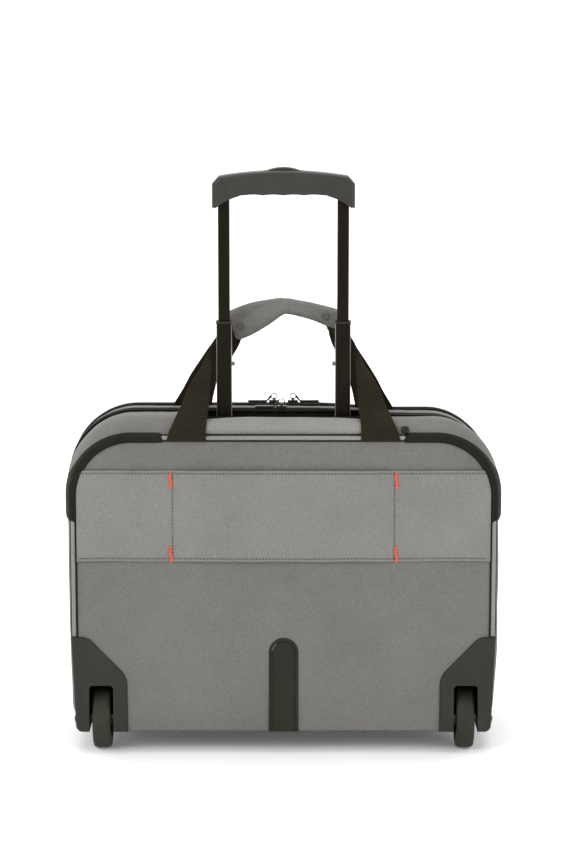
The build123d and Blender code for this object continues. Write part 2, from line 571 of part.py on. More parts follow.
for name, x, y, way in (
    ("left", -10.0, ZIP_LID_Y, -1),
    ("right", 10.0, ZIP_LID_Y, 1),
    ("rear", -2.0, ZIP_REAR_Y, -1),
):
    save(slider(x, y, ZIP_TOP), f"zip_slider_{name}")
    save(pull(x, y, ZIP_TOP, way), f"zip_pull_{name}")
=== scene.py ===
"""Looks of the rolling laptop case: fabric, zippers, webbing, mouldings and a plain studio."""
import math

import bmesh
import bpy
import numpy as np
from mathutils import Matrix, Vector, noise


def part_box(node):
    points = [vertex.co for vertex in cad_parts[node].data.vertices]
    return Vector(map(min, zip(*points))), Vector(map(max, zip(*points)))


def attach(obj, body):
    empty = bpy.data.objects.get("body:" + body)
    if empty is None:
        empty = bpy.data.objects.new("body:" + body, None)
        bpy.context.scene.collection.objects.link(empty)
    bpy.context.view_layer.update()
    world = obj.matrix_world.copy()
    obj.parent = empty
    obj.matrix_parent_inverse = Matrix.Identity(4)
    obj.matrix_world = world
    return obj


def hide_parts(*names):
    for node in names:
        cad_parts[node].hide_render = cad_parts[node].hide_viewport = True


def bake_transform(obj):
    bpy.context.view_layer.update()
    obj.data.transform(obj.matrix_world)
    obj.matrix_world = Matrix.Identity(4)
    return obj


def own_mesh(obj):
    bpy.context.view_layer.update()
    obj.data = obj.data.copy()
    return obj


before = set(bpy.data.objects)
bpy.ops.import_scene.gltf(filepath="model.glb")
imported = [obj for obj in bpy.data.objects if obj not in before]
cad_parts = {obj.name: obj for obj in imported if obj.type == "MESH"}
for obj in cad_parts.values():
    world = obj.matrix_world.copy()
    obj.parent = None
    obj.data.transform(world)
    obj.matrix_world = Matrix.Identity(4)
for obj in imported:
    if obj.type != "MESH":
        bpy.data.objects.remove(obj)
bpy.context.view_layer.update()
MM = 0.001
TINY = 1e-12                            # keeps a length from being zero

# ---------------------------------------------------------------- shape of the soft shell, in mm
REAR, FRONT = -105.0, 105.0
HALF, TOP, LOW = 225.5, 357.0, 23.0
CORNER_R = 70.0
PANEL_HALF, PANEL_TOP, PANEL_R = 216.0, 333.0, 58.0
REAR_RUN, FRONT_RUN = 26.0, 45.0        # how deep the rounded rear and front shoulders are
SIDE_TAPER_FROM, SIDE_TAPER = 150.0, 5.0
LID_SLOPE_FROM, LID_SLOPE = -1.5, 0.17  # the lid falls away from its zipper
FABRIC = 1.6                            # cloth thickness that shows at an edge
SIDES = ((-1, "left"), (1, "right"))


def unit(t):
    """t held between 0 and 1."""
    return min(max(t, 0.0), 1.0)


def quarter(t):
    """Quarter circle: 1 at t = 0, falling to 0 at t = 1."""
    return 1.0 - math.sqrt(1.0 - (1.0 - unit(t)) ** 2)


def size_at(y):
    """Half-width, top and corner radius of the shell's outline at depth y."""
    rear, front = quarter((y - REAR) / REAR_RUN), quarter((FRONT - y) / FRONT_RUN)
    half = HALF - (HALF - PANEL_HALF) * rear - 40.0 * front
    top = TOP - (TOP - PANEL_TOP) * rear - 34.0 * front
    ahead = max(y - LID_SLOPE_FROM, 0.0)
    top -= LID_SLOPE * ahead
    half -= 0.03 * ahead
    return half, top, CORNER_R - (CORNER_R - PANEL_R) * rear - 20.0 * front


def outline(half, top, radius, low, counts=(54, 22, 84)):
    """Points (x, z) and outward normals from the left foot over the top to the right foot."""
    n_side, n_arc, n_top = counts
    points, normals = [], []
    for i in range(n_side):
        points.append((-half, low + (top - radius - low) * i / n_side))
        normals.append((-1.0, 0.0))
    for i in range(n_arc):
        a = math.pi * (1 - 0.5 * i / n_arc)
        normals.append((math.cos(a), math.sin(a)))
        points.append((-half + radius + radius * math.cos(a), top - radius + radius * math.sin(a)))
    half_top = n_top // 2
    for i in range(half_top + 1):
        points.append(((-half + radius) * (1 - i / half_top), top))
        normals.append((0.0, 1.0))
    left = list(zip(points, normals))
    right = [((-p[0], p[1]), (-n[0], n[1])) for p, n in reversed(left[:-1])]
    both = left + right
    pts = np.array([p for p, _ in both])
    fall = np.clip((SIDE_TAPER_FROM - pts[:, 1]) / (SIDE_TAPER_FROM - LOW), 0, 1)
    pts[:, 0] *= 1 - (SIDE_TAPER / half) * fall ** 2
    return pts, np.array([n for _, n in both])


def wander(p, scale, seed=0.0):
    """Smooth noise from -1 to 1."""
    return noise.noise(Vector((p[0] / scale + seed, p[1] / scale - seed, p[2] / scale + 2 * seed)))


# ---------------------------------------------------------------- mesh helpers
def add_object(name, mesh, material, body):
    """A smooth piece with its slot, riding on body where one is given."""
    obj = bpy.data.objects.new(name, mesh)
    bpy.context.scene.collection.objects.link(obj)
    mesh.materials.append(material)
    mesh.polygons.foreach_set("use_smooth", [True] * len(mesh.polygons))
    if body:
        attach(obj, body)
    return obj


def edit_mesh(mesh, change):
    """Runs change on the mesh's faces as a bmesh and writes them back."""
    bm = bmesh.new()
    bm.from_mesh(mesh)
    change(bm)
    bm.to_mesh(mesh)
    bm.free()
    return mesh


def close_ends(bm):
    bmesh.ops.holes_fill(bm, edges=[e for e in bm.edges if e.is_boundary], sides=0)
    bmesh.ops.recalc_face_normals(bm, faces=bm.faces)


def close_ring(bm):
    bmesh.ops.remove_doubles(bm, verts=bm.verts, dist=1e-6)
    bmesh.ops.recalc_face_normals(bm, faces=bm.faces)


def drop_loose(bm):
    bmesh.ops.delete(bm, geom=[v for v in bm.verts if not v.link_faces], context="VERTS")


def turn_faces(bm):
    bmesh.ops.reverse_faces(bm, faces=bm.faces)


def grid_mesh(name, points, uv=None, closed=False, keep=None):
    """Quads over an (n, m, 3) array in mm. closed joins the second direction to itself."""
    n, m, _ = points.shape
    index = np.arange(n * m).reshape(n, m)
    faces = []
    for i in range(n - 1):
        for j in range(m if closed else m - 1):
            k = (j + 1) % m
            if keep is None or keep((points[i, j] + points[i + 1, k]) / 2):
                faces.append((index[i, j], index[i + 1, j], index[i + 1, k], index[i, k]))
    mesh = bpy.data.meshes.new(name)
    mesh.from_pydata((points.reshape(-1, 3) * MM).tolist(), [], [tuple(map(int, f)) for f in faces])
    if uv is not None:
        flat = uv.reshape(-1, 2) * MM
        layer = mesh.uv_layers.new(name="cloth")
        loops = np.zeros(len(mesh.loops), np.int32)
        mesh.loops.foreach_get("vertex_index", loops)
        layer.data.foreach_set("uv", flat[loops].astype(np.float32).ravel())
    mesh.update()
    return edit_mesh(mesh, drop_loose)


def outward_grid(name, rows, uvs, keep=None):
    """Grid whose rows are read backwards, so that it faces outwards."""
    return grid_mesh(name, np.array(rows)[:, ::-1], np.array(uvs)[:, ::-1], keep=keep)


def loft(name, sections):
    """Closed form through rings of points in mm, its ends filled."""
    return edit_mesh(grid_mesh(name, np.array(sections, float), closed=True), close_ends)


def thicken(obj, thickness, offset=-1.0):
    """Gives a sheet its thickness, in mm."""
    solid = obj.modifiers.new("thickness", "SOLIDIFY")
    solid.thickness = thickness * MM
    solid.offset = offset


def rounded(obj):
    """Smooths a piece with one level of subdivision."""
    sub = obj.modifiers.new("round", "SUBSURF")
    sub.levels = sub.render_levels = 1


def tube_mesh(name, path, radius, sides=12, closed=False, flat_way=None):
    """Tube along points in mm. A flat one has radius = (thin, wide), and flat_way is its thin direction."""
    path = np.array(path, float)
    thin, wide = (radius, radius) if np.isscalar(radius) else radius
    angles = np.arange(sides) * 2 * math.pi / sides
    ahead = np.roll(path, -1, 0) - np.roll(path, 1, 0)
    if not closed:
        ahead[0], ahead[-1] = path[1] - path[0], path[-1] - path[-2]
    rings = []
    side = np.array([0.31, 0.83, 0.47])
    for point, way in zip(path, ahead):
        t = way / (np.linalg.norm(way) + TINY)
        guide = side if flat_way is None else np.array(flat_way, float)
        side = guide - t * np.dot(guide, t)
        side = side / (np.linalg.norm(side) + TINY)
        other = np.cross(t, side)
        rings.append(point + np.outer(np.cos(angles) * thin, side) + np.outer(np.sin(angles) * wide, other))
    if closed:
        return edit_mesh(grid_mesh(name, np.array(rings + rings[:1]), closed=True), close_ring)
    return loft(name, rings)


def capsules(name, segments, radius, sides=6):
    """Many short rounded threads in one mesh. segments are (start, end) in mm."""
    verts, faces = [], []
    profile = [(-0.5, 0.35), (-0.36, 0.9), (0.0, 1.0), (0.36, 0.9), (0.5, 0.35)]
    for start, end in segments:
        start, end = np.array(start, float), np.array(end, float)
        t = (end - start) / (np.linalg.norm(end - start) + TINY)
        side = np.cross(t, (0.2, 0.9, 0.4))
        side /= np.linalg.norm(side)
        other = np.cross(t, side)
        base = len(verts)
        for along, fat in profile:
            mid = (start + end) / 2 + (end - start) * along
            for k in range(sides):
                a = 2 * math.pi * k / sides
                verts.append((mid + radius * fat * (math.cos(a) * side + math.sin(a) * other)) * MM)
        for r in range(len(profile) - 1):
            for k in range(sides):
                a, b = base + r * sides + k, base + r * sides + (k + 1) % sides
                faces.append((a, b, b + sides, a + sides))
        faces.append(tuple(base + k for k in reversed(range(sides))))
        faces.append(tuple(base + (len(profile) - 1) * sides + k for k in range(sides)))
    mesh = bpy.data.meshes.new(name)
    mesh.from_pydata([tuple(v) for v in verts], [], faces)
    mesh.update()
    return mesh


def along(points, pitch, dash):
    """Stitches of length dash every pitch along a line of points in mm."""
    points = np.array(points, float)
    steps = np.linalg.norm(np.diff(points, axis=0), axis=1)
    run = np.concatenate([[0], np.cumsum(steps)])
    made = []
    for k in range(int(run[-1] // pitch)):
        ends = []
        for d in (k * pitch + (pitch - dash) / 2, k * pitch + (pitch + dash) / 2):
            ends.append([np.interp(d, run, points[:, a]) for a in range(3)])
        made.append((ends[0], ends[1]))
    return made


# ---------------------------------------------------------------- materials
SOCKETS = {
    "rough": "Roughness", "metal": "Metallic", "specular": "Specular IOR Level",
    "sheen": "Sheen Weight", "sheen_rough": "Sheen Roughness",
}


class Nodes:
    """Small helper that adds and links shader nodes."""

    def __init__(self, name):
        self.mat = bpy.data.materials.new(name)
        self.mat.use_nodes = True
        self.tree = self.mat.node_tree
        self.bsdf = self.tree.nodes["Principled BSDF"]

    def add(self, kind, links=(), **values):
        node = self.tree.nodes.new(kind)
        for key, value in values.items():
            setattr(node, key, value)
        for socket, source in links:
            self.tree.links.new(source, node.inputs[socket])
        return node

    def math(self, operation, a, b=None, clamp=False):
        node = self.add("ShaderNodeMath", operation=operation, use_clamp=clamp)
        for i, value in enumerate((a, b)):
            if value is None:
                continue
            if hasattr(value, "is_linked"):
                self.tree.links.new(value, node.inputs[i])
            else:
                node.inputs[i].default_value = value
        return node.outputs[0]

    def weighted(self, *pairs):
        """Sum of sockets, each given with its weight."""
        terms = [self.math("MULTIPLY", *pair) for pair in pairs]
        total = terms.pop()
        while terms:
            total = self.math("ADD", terms.pop(), total)
        return total

    def place(self):
        return self.add("ShaderNodeTexCoord").outputs["Object"]

    def stretched(self, vector, scale):
        node = self.add("ShaderNodeMapping", links=[(0, vector)])
        node.inputs["Scale"].default_value = scale
        return node.outputs[0]

    def split(self, vector):
        return self.add("ShaderNodeSeparateXYZ", links=[(0, vector)]).outputs

    def ramp(self, factor, stops):
        node = self.add("ShaderNodeValToRGB", links=[(0, factor)])
        elements = node.color_ramp.elements
        while len(elements) < len(stops):
            elements.new(0.5)
        for element, (place, colour) in zip(elements, stops):
            element.position = place
            element.color = (*colour, 1.0)
        return node.outputs[0]

    def noise(self, vector, scale, detail=3.0, rough=0.5):
        node = self.add("ShaderNodeTexNoise", links=[(0, vector)])
        node.inputs["Scale"].default_value = scale
        node.inputs["Detail"].default_value = detail
        node.inputs["Roughness"].default_value = rough
        return node.outputs[0]

    def bump(self, height, distance, strength=1.0, normal=None):
        node = self.add("ShaderNodeBump")
        node.inputs["Distance"].default_value = distance
        node.inputs["Strength"].default_value = strength
        self.tree.links.new(height, node.inputs["Height"])
        if normal is not None:
            self.tree.links.new(normal, node.inputs["Normal"])
        return node.outputs[0]

    def wire(self, socket, source):
        self.tree.links.new(source, self.bsdf.inputs[socket])

    def set(self, **values):
        for key, value in values.items():
            self.bsdf.inputs[SOCKETS[key]].default_value = value


RIB_PITCH = 1.7             # of the webbing, in mm
TUBE_X = 62.0               # how far the handle's tubes stand from the middle


def shades(base, low, high):
    """A darker and a lighter colour either side of base."""
    return tuple(c * low for c in base), tuple(c * high for c in base)


def fabric(name, base, thread, uv=True, spread=0.22, sheen=0.08):
    """Plain weave: warp and weft crowns, heathered yarn and slow shade changes. thread in mm."""
    m = Nodes(name)
    coords = m.add("ShaderNodeTexCoord").outputs["UV" if uv else "Object"]
    place = m.place()
    split = m.split(coords)
    k = math.pi / (thread * MM)
    a, b = split[0], split[1 if uv else 2]
    wave_a = m.math("SINE", m.math("MULTIPLY", a, k))
    wave_b = m.math("SINE", m.math("MULTIPLY", b, k))
    over = m.math("MULTIPLY", wave_a, wave_b)
    crown = m.weighted((m.math("ABSOLUTE", wave_a), 0.5), (over, 0.5))
    yarn = m.noise(m.stretched(place, (1.0, 1.0, 0.5)), 1500.0, 2.0, 0.6)
    slub = m.noise(place, 240.0, 3.0, 0.65)
    slow = m.noise(place, 14.0, 3.0, 0.55)
    mix = m.weighted((yarn, 0.62), (slub, 0.18))
    mix = m.math("ADD", mix, m.math("MULTIPLY", slow, 0.22))
    mix = m.math("ADD", mix, m.math("MULTIPLY", crown, 0.10))
    dark, light = shades(base, 1 - 1.6 * spread, 1 + 1.6 * spread)
    m.wire("Base Color", m.ramp(mix, [(0.33, dark), (0.56, base), (0.80, light)]))
    m.wire("Roughness", m.math("ADD", m.math("MULTIPLY", slub, 0.12), 0.76))
    fine = m.bump(crown, 0.00022, 0.55)
    m.wire("Normal", m.bump(slub, 0.0005, 0.35, fine))
    m.set(sheen=sheen, sheen_rough=0.45, specular=0.12)
    return m.mat


def webbing(name, base):
    """Heavy webbing: ribs across the strap with a twill of finer yarns."""
    m = Nodes(name)
    uv = m.add("ShaderNodeTexCoord").outputs["UV"]
    place = m.place()
    split = m.split(uv)
    k = 2 * math.pi / (RIB_PITCH * MM)
    ribs = m.math("SINE", m.math("MULTIPLY", split[1], k))
    skew = m.math("ADD", split[0], m.math("MULTIPLY", split[1], 0.6))
    twill = m.math("SINE", m.math("MULTIPLY", skew, k * 1.3))
    height = m.weighted((ribs, 0.6), (twill, 0.4))
    fuzz = m.noise(place, 500.0, 3.0, 0.7)
    slow = m.noise(place, 30.0, 2.0)
    mix = m.weighted((height, 0.22), (fuzz, 0.5), (slow, 0.4))
    dark, light = shades(base, 0.45, 2.0)
    m.wire("Base Color", m.ramp(mix, [(0.22, dark), (0.46, base), (0.75, light)]))
    m.wire("Roughness", m.math("ADD", m.math("MULTIPLY", fuzz, 0.2), 0.66))
    m.wire("Normal", m.bump(height, 0.0004, 0.7))
    m.set(sheen=0.02, sheen_rough=0.5, specular=0.08)
    return m.mat


def moulding(name, base, rough=0.48, grain=1500.0, depth=0.00012, wear=1.5, specular=0.18):
    """Moulded plastic or rubber: fine spark texture, slow blotches and paler rubbed high spots."""
    m = Nodes(name)
    place = m.place()
    fine = m.noise(place, grain, 2.0, 0.6)
    slow = m.noise(place, 22.0, 4.0, 0.6)
    scuff = m.noise(m.stretched(place, (1.0, 1.0, 0.16)), 260.0, 4.0, 0.7)
    mix = m.weighted((slow, 0.55), (fine, 0.2), (scuff, 0.25))
    dark, light = shades(base, 0.82, wear)
    m.wire("Base Color", m.ramp(mix, [(0.36, dark), (0.52, base), (0.78, light)]))
    m.wire("Roughness", m.math("ADD", m.math("MULTIPLY", scuff, 0.16), rough - 0.08))
    m.wire("Normal", m.bump(fine, depth, 0.5))
    m.set(specular=specular)
    return m.mat


def metal(name, base, rough, metallic=1.0, specular=0.5, edge=None):
    """Drawn or plated metal. edge is the half-width in mm of a tube whose side corners get a painted
    highlight, a paler colour that stands in for the lights' reflections.
    """
    m = Nodes(name)
    place = m.place()
    lines = m.noise(m.stretched(place, (1.0, 1.0, 0.03)), 2600.0, 3.0, 0.6)
    smear = m.noise(place, 40.0, 4.0, 0.6)
    mix = m.weighted((lines, 0.5), (smear, 0.5))
    dark, light = shades(base, 0.8, 1.3)
    colour = m.ramp(mix, [(0.3, dark), (0.5, base), (0.72, light)])
    # painted highlight: along the tube's side corners the colour is mixed towards a pale grey, in place of
    # the reflections of the lights
    if edge:
        across = m.math("ABSOLUTE", m.split(place)[0])
        off_axis = m.math("ABSOLUTE", m.math("SUBTRACT", across, TUBE_X * MM))
        share = m.math("MULTIPLY", m.math("SUBTRACT", off_axis, (edge - 0.95) * MM), 1400.0, clamp=True)
        highlight_mix = m.add("ShaderNodeMix", data_type="RGBA", links=[(0, share), (6, colour)])
        # pale grey of the painted highlight
        highlight_mix.inputs[7].default_value = (0.17, 0.165, 0.14, 1.0)
        colour = highlight_mix.outputs[2]
    m.wire("Base Color", colour)
    m.wire("Roughness", m.math("ADD", m.math("MULTIPLY", mix, 0.2), rough - 0.1))
    m.wire("Normal", m.bump(lines, 0.00002, 0.4))
    m.set(metal=metallic, specular=specular)
    return m.mat


def thread_material(name, base):
    """Glossy twisted sewing thread."""
    m = Nodes(name)
    place = m.place()
    twist = m.noise(place, 1800.0, 2.0)
    dark, light = shades(base, 0.75, 1.25)
    m.wire("Base Color", m.ramp(twist, [(0.35, dark), (0.65, light)]))
    m.wire("Normal", m.bump(twist, 0.0001, 0.5))
    m.set(rough=0.55, sheen=0.2)
    return m.mat


SHELL_GREY = (0.150, 0.146, 0.136)
PALE_GREY = (0.192, 0.190, 0.178)
TUBE_BROWN = (0.0085, 0.0062, 0.0034)
MAT = {
    "shell": fabric("shell_fabric", SHELL_GREY, 0.75),
    "pale": fabric("sleeve_fabric", PALE_GREY, 0.75),
    "shell_soft": fabric("shell_fabric_padded", SHELL_GREY, 0.75, uv=False),
    "pale_soft": fabric("padded_roll_fabric", (0.215, 0.213, 0.20), 0.75, uv=False),
    "piping": fabric("piping_fabric", (0.225, 0.223, 0.205), 0.8, uv=False, sheen=0.1),
    "lining": fabric("lining_cloth", (0.02, 0.02, 0.02), 0.6, uv=False, spread=0.1),
    "binding": fabric("binding_tape", (0.010, 0.010, 0.008), 0.7, uv=False, spread=0.2, sheen=0.05),
    "tape": fabric("zipper_tape", (0.020, 0.019, 0.016), 0.7, spread=0.2, sheen=0.1),
    "coil": moulding("nylon_coil", (0.016, 0.015, 0.013), 0.38, depth=0.00005),
    "webbing": webbing("strap_webbing", (0.0165, 0.0130, 0.0068)),
    "bumper": moulding("corner_rubber", (0.015, 0.0145, 0.0105), 0.62, wear=1.35, specular=0.04),
    "housing": moulding("housing_plastic", (0.024, 0.024, 0.019), 0.46),
    "grip": moulding("grip_plastic", (0.030, 0.029, 0.025), 0.40, grain=2200.0, depth=0.00008, specular=0.25),
    "dark_plastic": moulding("recess_plastic", (0.007, 0.006, 0.004), 0.5, specular=0.1),
    "tyre": moulding("tyre_rubber", (0.026, 0.026, 0.018), 0.6, grain=900.0),
    "board": moulding("stiffener_sheet", (0.02, 0.02, 0.02), 0.5),
    "tube": metal("anodised_tube", TUBE_BROWN, 0.30, metallic=0.0, specular=0.07),
    "tube_wide": metal("anodised_tube_wide", TUBE_BROWN, 0.30, metallic=0.0, specular=0.07, edge=8.0),
    "tube_stage1": metal("anodised_tube_first", TUBE_BROWN, 0.30, metallic=0.0, specular=0.07, edge=10.0),
    "steel": metal("plated_steel", (0.20, 0.195, 0.185), 0.35),
    "dark_steel": metal("dark_plated_steel", (0.05, 0.048, 0.042), 0.35),
    "snap": moulding("painted_snap", (0.085, 0.083, 0.076), 0.4, specular=0.3),
    "orange": thread_material("orange_bartack_thread", (0.60, 0.075, 0.028)),
    "thread": thread_material("grey_thread", (0.10, 0.10, 0.09)),
    "dark_thread": thread_material("dark_thread", (0.012, 0.012, 0.011)),
}

# ---------------------------------------------------------------- shell rings that follow the base
BASE_CORNER = 24.0
SINK = 2.2                  # how far the cloth lies below the zippers
BASE_RIM = 33.0
TUCK = 13.0                 # height over which the cloth tucks in to the base's rim
BASE_ARC = 42.0             # plan radius of the base's front corners


def base_edge(y, z):
    """Half-width of the moulded base at depth y and height z, in mm."""
    plan = min(218.0 + 9.0 * (y - REAR) / 45.0, 227.0)
    ahead = max(y - (FRONT - BASE_ARC), 0.0)
    plan -= BASE_ARC - math.sqrt(max(BASE_ARC ** 2 - ahead ** 2, 0.0))
    return plan - BASE_CORNER + math.sqrt(BASE_CORNER ** 2 - (LOW + BASE_CORNER - z) ** 2)


def side_at(y, z, half):
    """The fabric's half-width at depth y and height z: it tucks in over the base."""
    x = half * (1 - SIDE_TAPER / half * unit((SIDE_TAPER_FROM - z) / (SIDE_TAPER_FROM - LOW)) ** 2)
    if z < BASE_RIM + TUCK:
        share = unit((z - BASE_RIM) / TUCK)
        x = (base_edge(y, min(z, BASE_RIM)) + 0.8) * (1 - share) + x * share
    return x


def ring(y, low=LOW):
    """Outline points (x, z), outward normals and run length at depth y."""
    half, top, radius = size_at(y)
    points, normals = outline(half, top, radius, low)
    for p in points:
        if p[1] < BASE_RIM + TUCK:
            p[0] = math.copysign(side_at(y, p[1], half), p[0])
        lean_x, lean_z = slump(p[0], y, p[1])
        p[0] -= lean_x
        p[1] -= lean_z
    steps = np.linalg.norm(np.diff(points, axis=0), axis=1)
    return points, normals, np.concatenate([[0.0], np.cumsum(steps)])


def slump(x, y, z):
    """How far the empty soft top has sunk on its right side: inwards and down, in mm."""
    side = unit((x - 30.0) / 90.0)
    share = side * side * (3 - 2 * side) * unit((y + 98.0) / 40.0)
    height = unit((z - 210.0) / 120.0)
    dip = 1.4 * math.exp(-((y + 50.0) / 24.0) ** 2) * unit((x - 92.0) / 45.0)
    return 5.5 * share * height * unit((x - 120.0) / 80.0), (4.6 + dip) * share * height


def stations(y0, y1, steps, rear_round=False, front_round=False):
    """Depths for a strip, closer together on a rounded shoulder."""
    made = []
    for k in range(steps + 1):
        t = k / steps
        if rear_round:
            t = 1 - math.cos(t * math.pi / 2)
        if front_round:
            t = math.sin(t * math.pi / 2)
        made.append(y0 + (y1 - y0) * t)
    return made


def strip(name, depths, body, low, bulge, seed, keep=None):
    """Fabric band round the shell between two seams, crowned, wrinkled and puckered at the seams."""
    rows, uvs = [], []
    y0, y1 = depths[0], depths[-1]
    run = 0.0
    for k, y in enumerate(depths):
        points, normals, arc = ring(y, low)
        if k:
            run += math.hypot(y - depths[k - 1], size_at(y)[1] - size_at(depths[k - 1])[1])
        t = (y - y0) / (y1 - y0)
        pillow = 1 - (2 * t - 1) ** 4
        edge = min(y - y0, y1 - y)
        row, uv = [], []
        for (x, z), (nx, nz), s in zip(points, normals, arc):
            p = (x, y * 0.8, z)
            ripple = math.sin(s / 2.9 + 2.2 * wander(p, 34, seed)) * math.exp(-edge / 5.0) * 0.3
            d = bulge * pillow + (0.9 * wander(p, 75, seed) + 0.45 * wander(p, 26, seed + 3)) * pillow
            d += ripple - 1.1 * math.exp(-(edge / 2.0) ** 2) - SINK * unit((y - REAR - 12.0) / 30.0)
            low_hold = unit((z - low) / 14.0)
            row.append((x + nx * d * low_hold, y, z + nz * d))
            uv.append((s, run))
        rows.append(row)
        uvs.append(uv)
    obj = add_object(name, outward_grid(name, rows, uvs, keep), MAT["shell"], body)
    line_inside(obj, FABRIC)
    return obj


def line_inside(obj, thickness):
    """Thickness with lining on the inner side."""
    obj.data.materials.append(MAT["lining"])
    thicken(obj, thickness)
    obj.modifiers["thickness"].material_offset = 1
    obj.modifiers["thickness"].material_offset_rim = 0


def stitches(name, lines, material, body, pitch=3.2, dash=2.2, radius=0.32):
    """Sewing stitches along lines of points in mm, one mesh."""
    segments = [seg for line in lines for seg in along(line, pitch, dash)]
    add_object(name, capsules(name, segments, radius), material, body)


def ring_line(y, out, low):
    """Line of 3-D points along the shell at depth y, out mm beyond its surface."""
    points, normals, _ = ring(y, low)
    return [(x + nx * out, y, z + nz * out) for (x, z), (nx, nz) in zip(points, normals)]


# ---------------------------------------------------------------- gussets
RECESS = (85.0, -80.2, -47.0)    # the handle's recess: half-width, rear and front edge
ROLL_HALF = 80.0
GUSSET_LOW, ZIPPER_LOW, LID_LOW = 24.5, 30.0, 32.6
LID_EDGE = 104.6                 # depth of the seam between the lid's band and its face


def off_recess(p):
    x, y, z = p
    over_recess = abs(x) < RECESS[0] and RECESS[1] < y < RECESS[2] + 1 and z > 330
    under_roll = abs(x) < ROLL_HALF and y <= RECESS[1] and z > 334
    in_housing = abs(x) > 150 and z < 119 and y < -100
    return not (over_recess or under_roll or in_housing)


rear_depths = stations(REAR, -79.0, 12, rear_round=True) + stations(-77.0, -47.0, 14)
rear_gusset = strip("rear_gusset_fabric", rear_depths, "case", GUSSET_LOW, 0.9, 1.0, off_recess)
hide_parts("rear_gusset")
middle_gusset = strip("middle_gusset_fabric", stations(-40.0, -8.2, 15), "case", GUSSET_LOW, 1.8, 2.0)
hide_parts("middle_gusset")
lid_gusset = strip("lid_gusset_fabric", stations(8.7, 60.8, 18), "lid", LID_LOW, 1.8, 3.0)
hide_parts("lid_gusset")
strip("front_band_fabric", stations(60.3, LID_EDGE, 18, front_round=True), "lid", LID_LOW, 0.8, 4.0)


# ---------------------------------------------------------------- flat faces
def face_width(y, z, half, top, radius):
    """Half-width of a face at height z."""
    if z > top - radius:
        return half - radius + math.sqrt(max(radius ** 2 - (z - top + radius) ** 2, 0.0))
    return side_at(y, z, half)


def face_points(y, size, low, nx, nz, depth):
    """Grid over the rear or front face. depth(x, z, edge) is how far it stands out, in mm."""
    half, top, radius = size
    split = (top - radius - low) / (top - low)
    rows, uvs = [], []
    for i in range(nz + 1):
        t = i / nz
        if t < split:
            z = low + (top - low) * t
        else:
            a = (t - split) / (1 - split) * math.pi / 2
            z = top - radius + radius * math.sin(a)
        w = face_width(y, z, half, top, radius)
        row, uv = [], []
        for j in range(nx + 1):
            x = w * (2 * j / nx - 1)
            edge = min(w - abs(x), top - z, z - low)
            row.append((x, y + depth(x, z, edge), z))
            uv.append((x, z))
        rows.append(row)
        uvs.append(uv)
    return np.array(rows), np.array(uvs)


def shoulder_height(x):
    """Height of the housing's outline above the floor at |x|, in mm."""
    return float(np.interp(abs(x), [163.8, 168, 176, 192, 205, 223], [70, 90, 97, 112, 122, 125]))


def rear_depth(x, z, edge):
    """How far the rear panel stands out: slight crown, long soft wrinkles, tight at its seams."""
    crown = 1 - math.exp(-max(edge, 0.0) / 26.0)
    p = (x, z, 0.0)
    folds = 0.75 * wander((x, z * 0.45, 3.0), 46, 5.0) + 0.28 * wander(p, 15, 6.0)
    pull = 0.8 * math.exp(-((abs(x) - 24) / 15.0) ** 2) * math.exp(-((z - 70) / 55.0) ** 2)
    ripple = 0.22 * math.sin((x + z) / 3.1) * math.exp(-max(edge, 0.0) / 5.0)
    return -(0.7 + crown * (2.0 + folds) + pull * 0.5 + ripple)


def clear_of_housing(p):
    return not (abs(p[0]) > 168.5 and p[2] < shoulder_height(p[0]) - 5.0)


rear_size = (PANEL_HALF + 0.4, PANEL_TOP + 0.4, PANEL_R)
rear_points, rear_uv = face_points(REAR, rear_size, 23.4, 180, 130, rear_depth)
rear_mesh = grid_mesh("rear_panel_fabric", rear_points, rear_uv, keep=clear_of_housing)
edit_mesh(rear_mesh, turn_faces)
rear_panel = add_object("rear_panel_fabric", rear_mesh, MAT["shell"], "case")
line_inside(rear_panel, 1.2)
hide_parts("rear_panel")


def front_depth(x, z, edge):
    """How far the front face stands out."""
    crown = 1 - math.exp(-max(edge, 0.0) / 30.0)
    return crown * (1.2 + 0.6 * wander((x, z, 9.0), 60, 7.0)) - 0.4


front_points, front_uv = face_points(FRONT, size_at(LID_EDGE), LID_LOW, 110, 90, front_depth)
front_mesh = grid_mesh("front_panel_fabric", front_points, front_uv)
front_panel = add_object("front_panel_fabric", front_mesh, MAT["shell"], "lid")
line_inside(front_panel, 1.4)
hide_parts("front_panel")

# ---------------------------------------------------------------- luggage sleeve
SLEEVE_LOW, SLEEVE_TOP = 206.5, 302.6
SEAM_X = 115.2
HEM = 2.6


def sleeve_depth(x, z):
    """The sleeve stands off the panel between its two sewn lines."""
    panel = rear_depth(x, z, 60.0)
    inside = max(1 - (abs(x) / SEAM_X) ** 8, 0.0) if abs(x) < SEAM_X else 0.0
    across = (z - SLEEVE_LOW) / (SLEEVE_TOP - SLEEVE_LOW)
    belly = 2.6 + 1.0 * wander((x, z * 0.5, 1.0), 48, 11.0) + 0.5 * math.sin(across * math.pi)
    side = 0.5 * math.sin(math.pi * unit((abs(x) - SEAM_X) / 90.0))
    groove = 0.7 * math.exp(-((abs(x) - SEAM_X) / 1.7) ** 2)
    hem = 0.0
    for z0, z1 in ((SLEEVE_TOP - HEM, SLEEVE_TOP), (SLEEVE_LOW, SLEEVE_LOW + HEM)):
        if z0 <= z <= z1:
            hem = 0.75 * math.sin(math.pi * unit((z - z0) / (z1 - z0))) ** 0.6
    ripple = 0.16 * math.sin(z / 2.4) * math.exp(-abs(abs(x) - SEAM_X) / 7.0)
    return panel - 1.5 - inside * belly - side + groove - hem - ripple


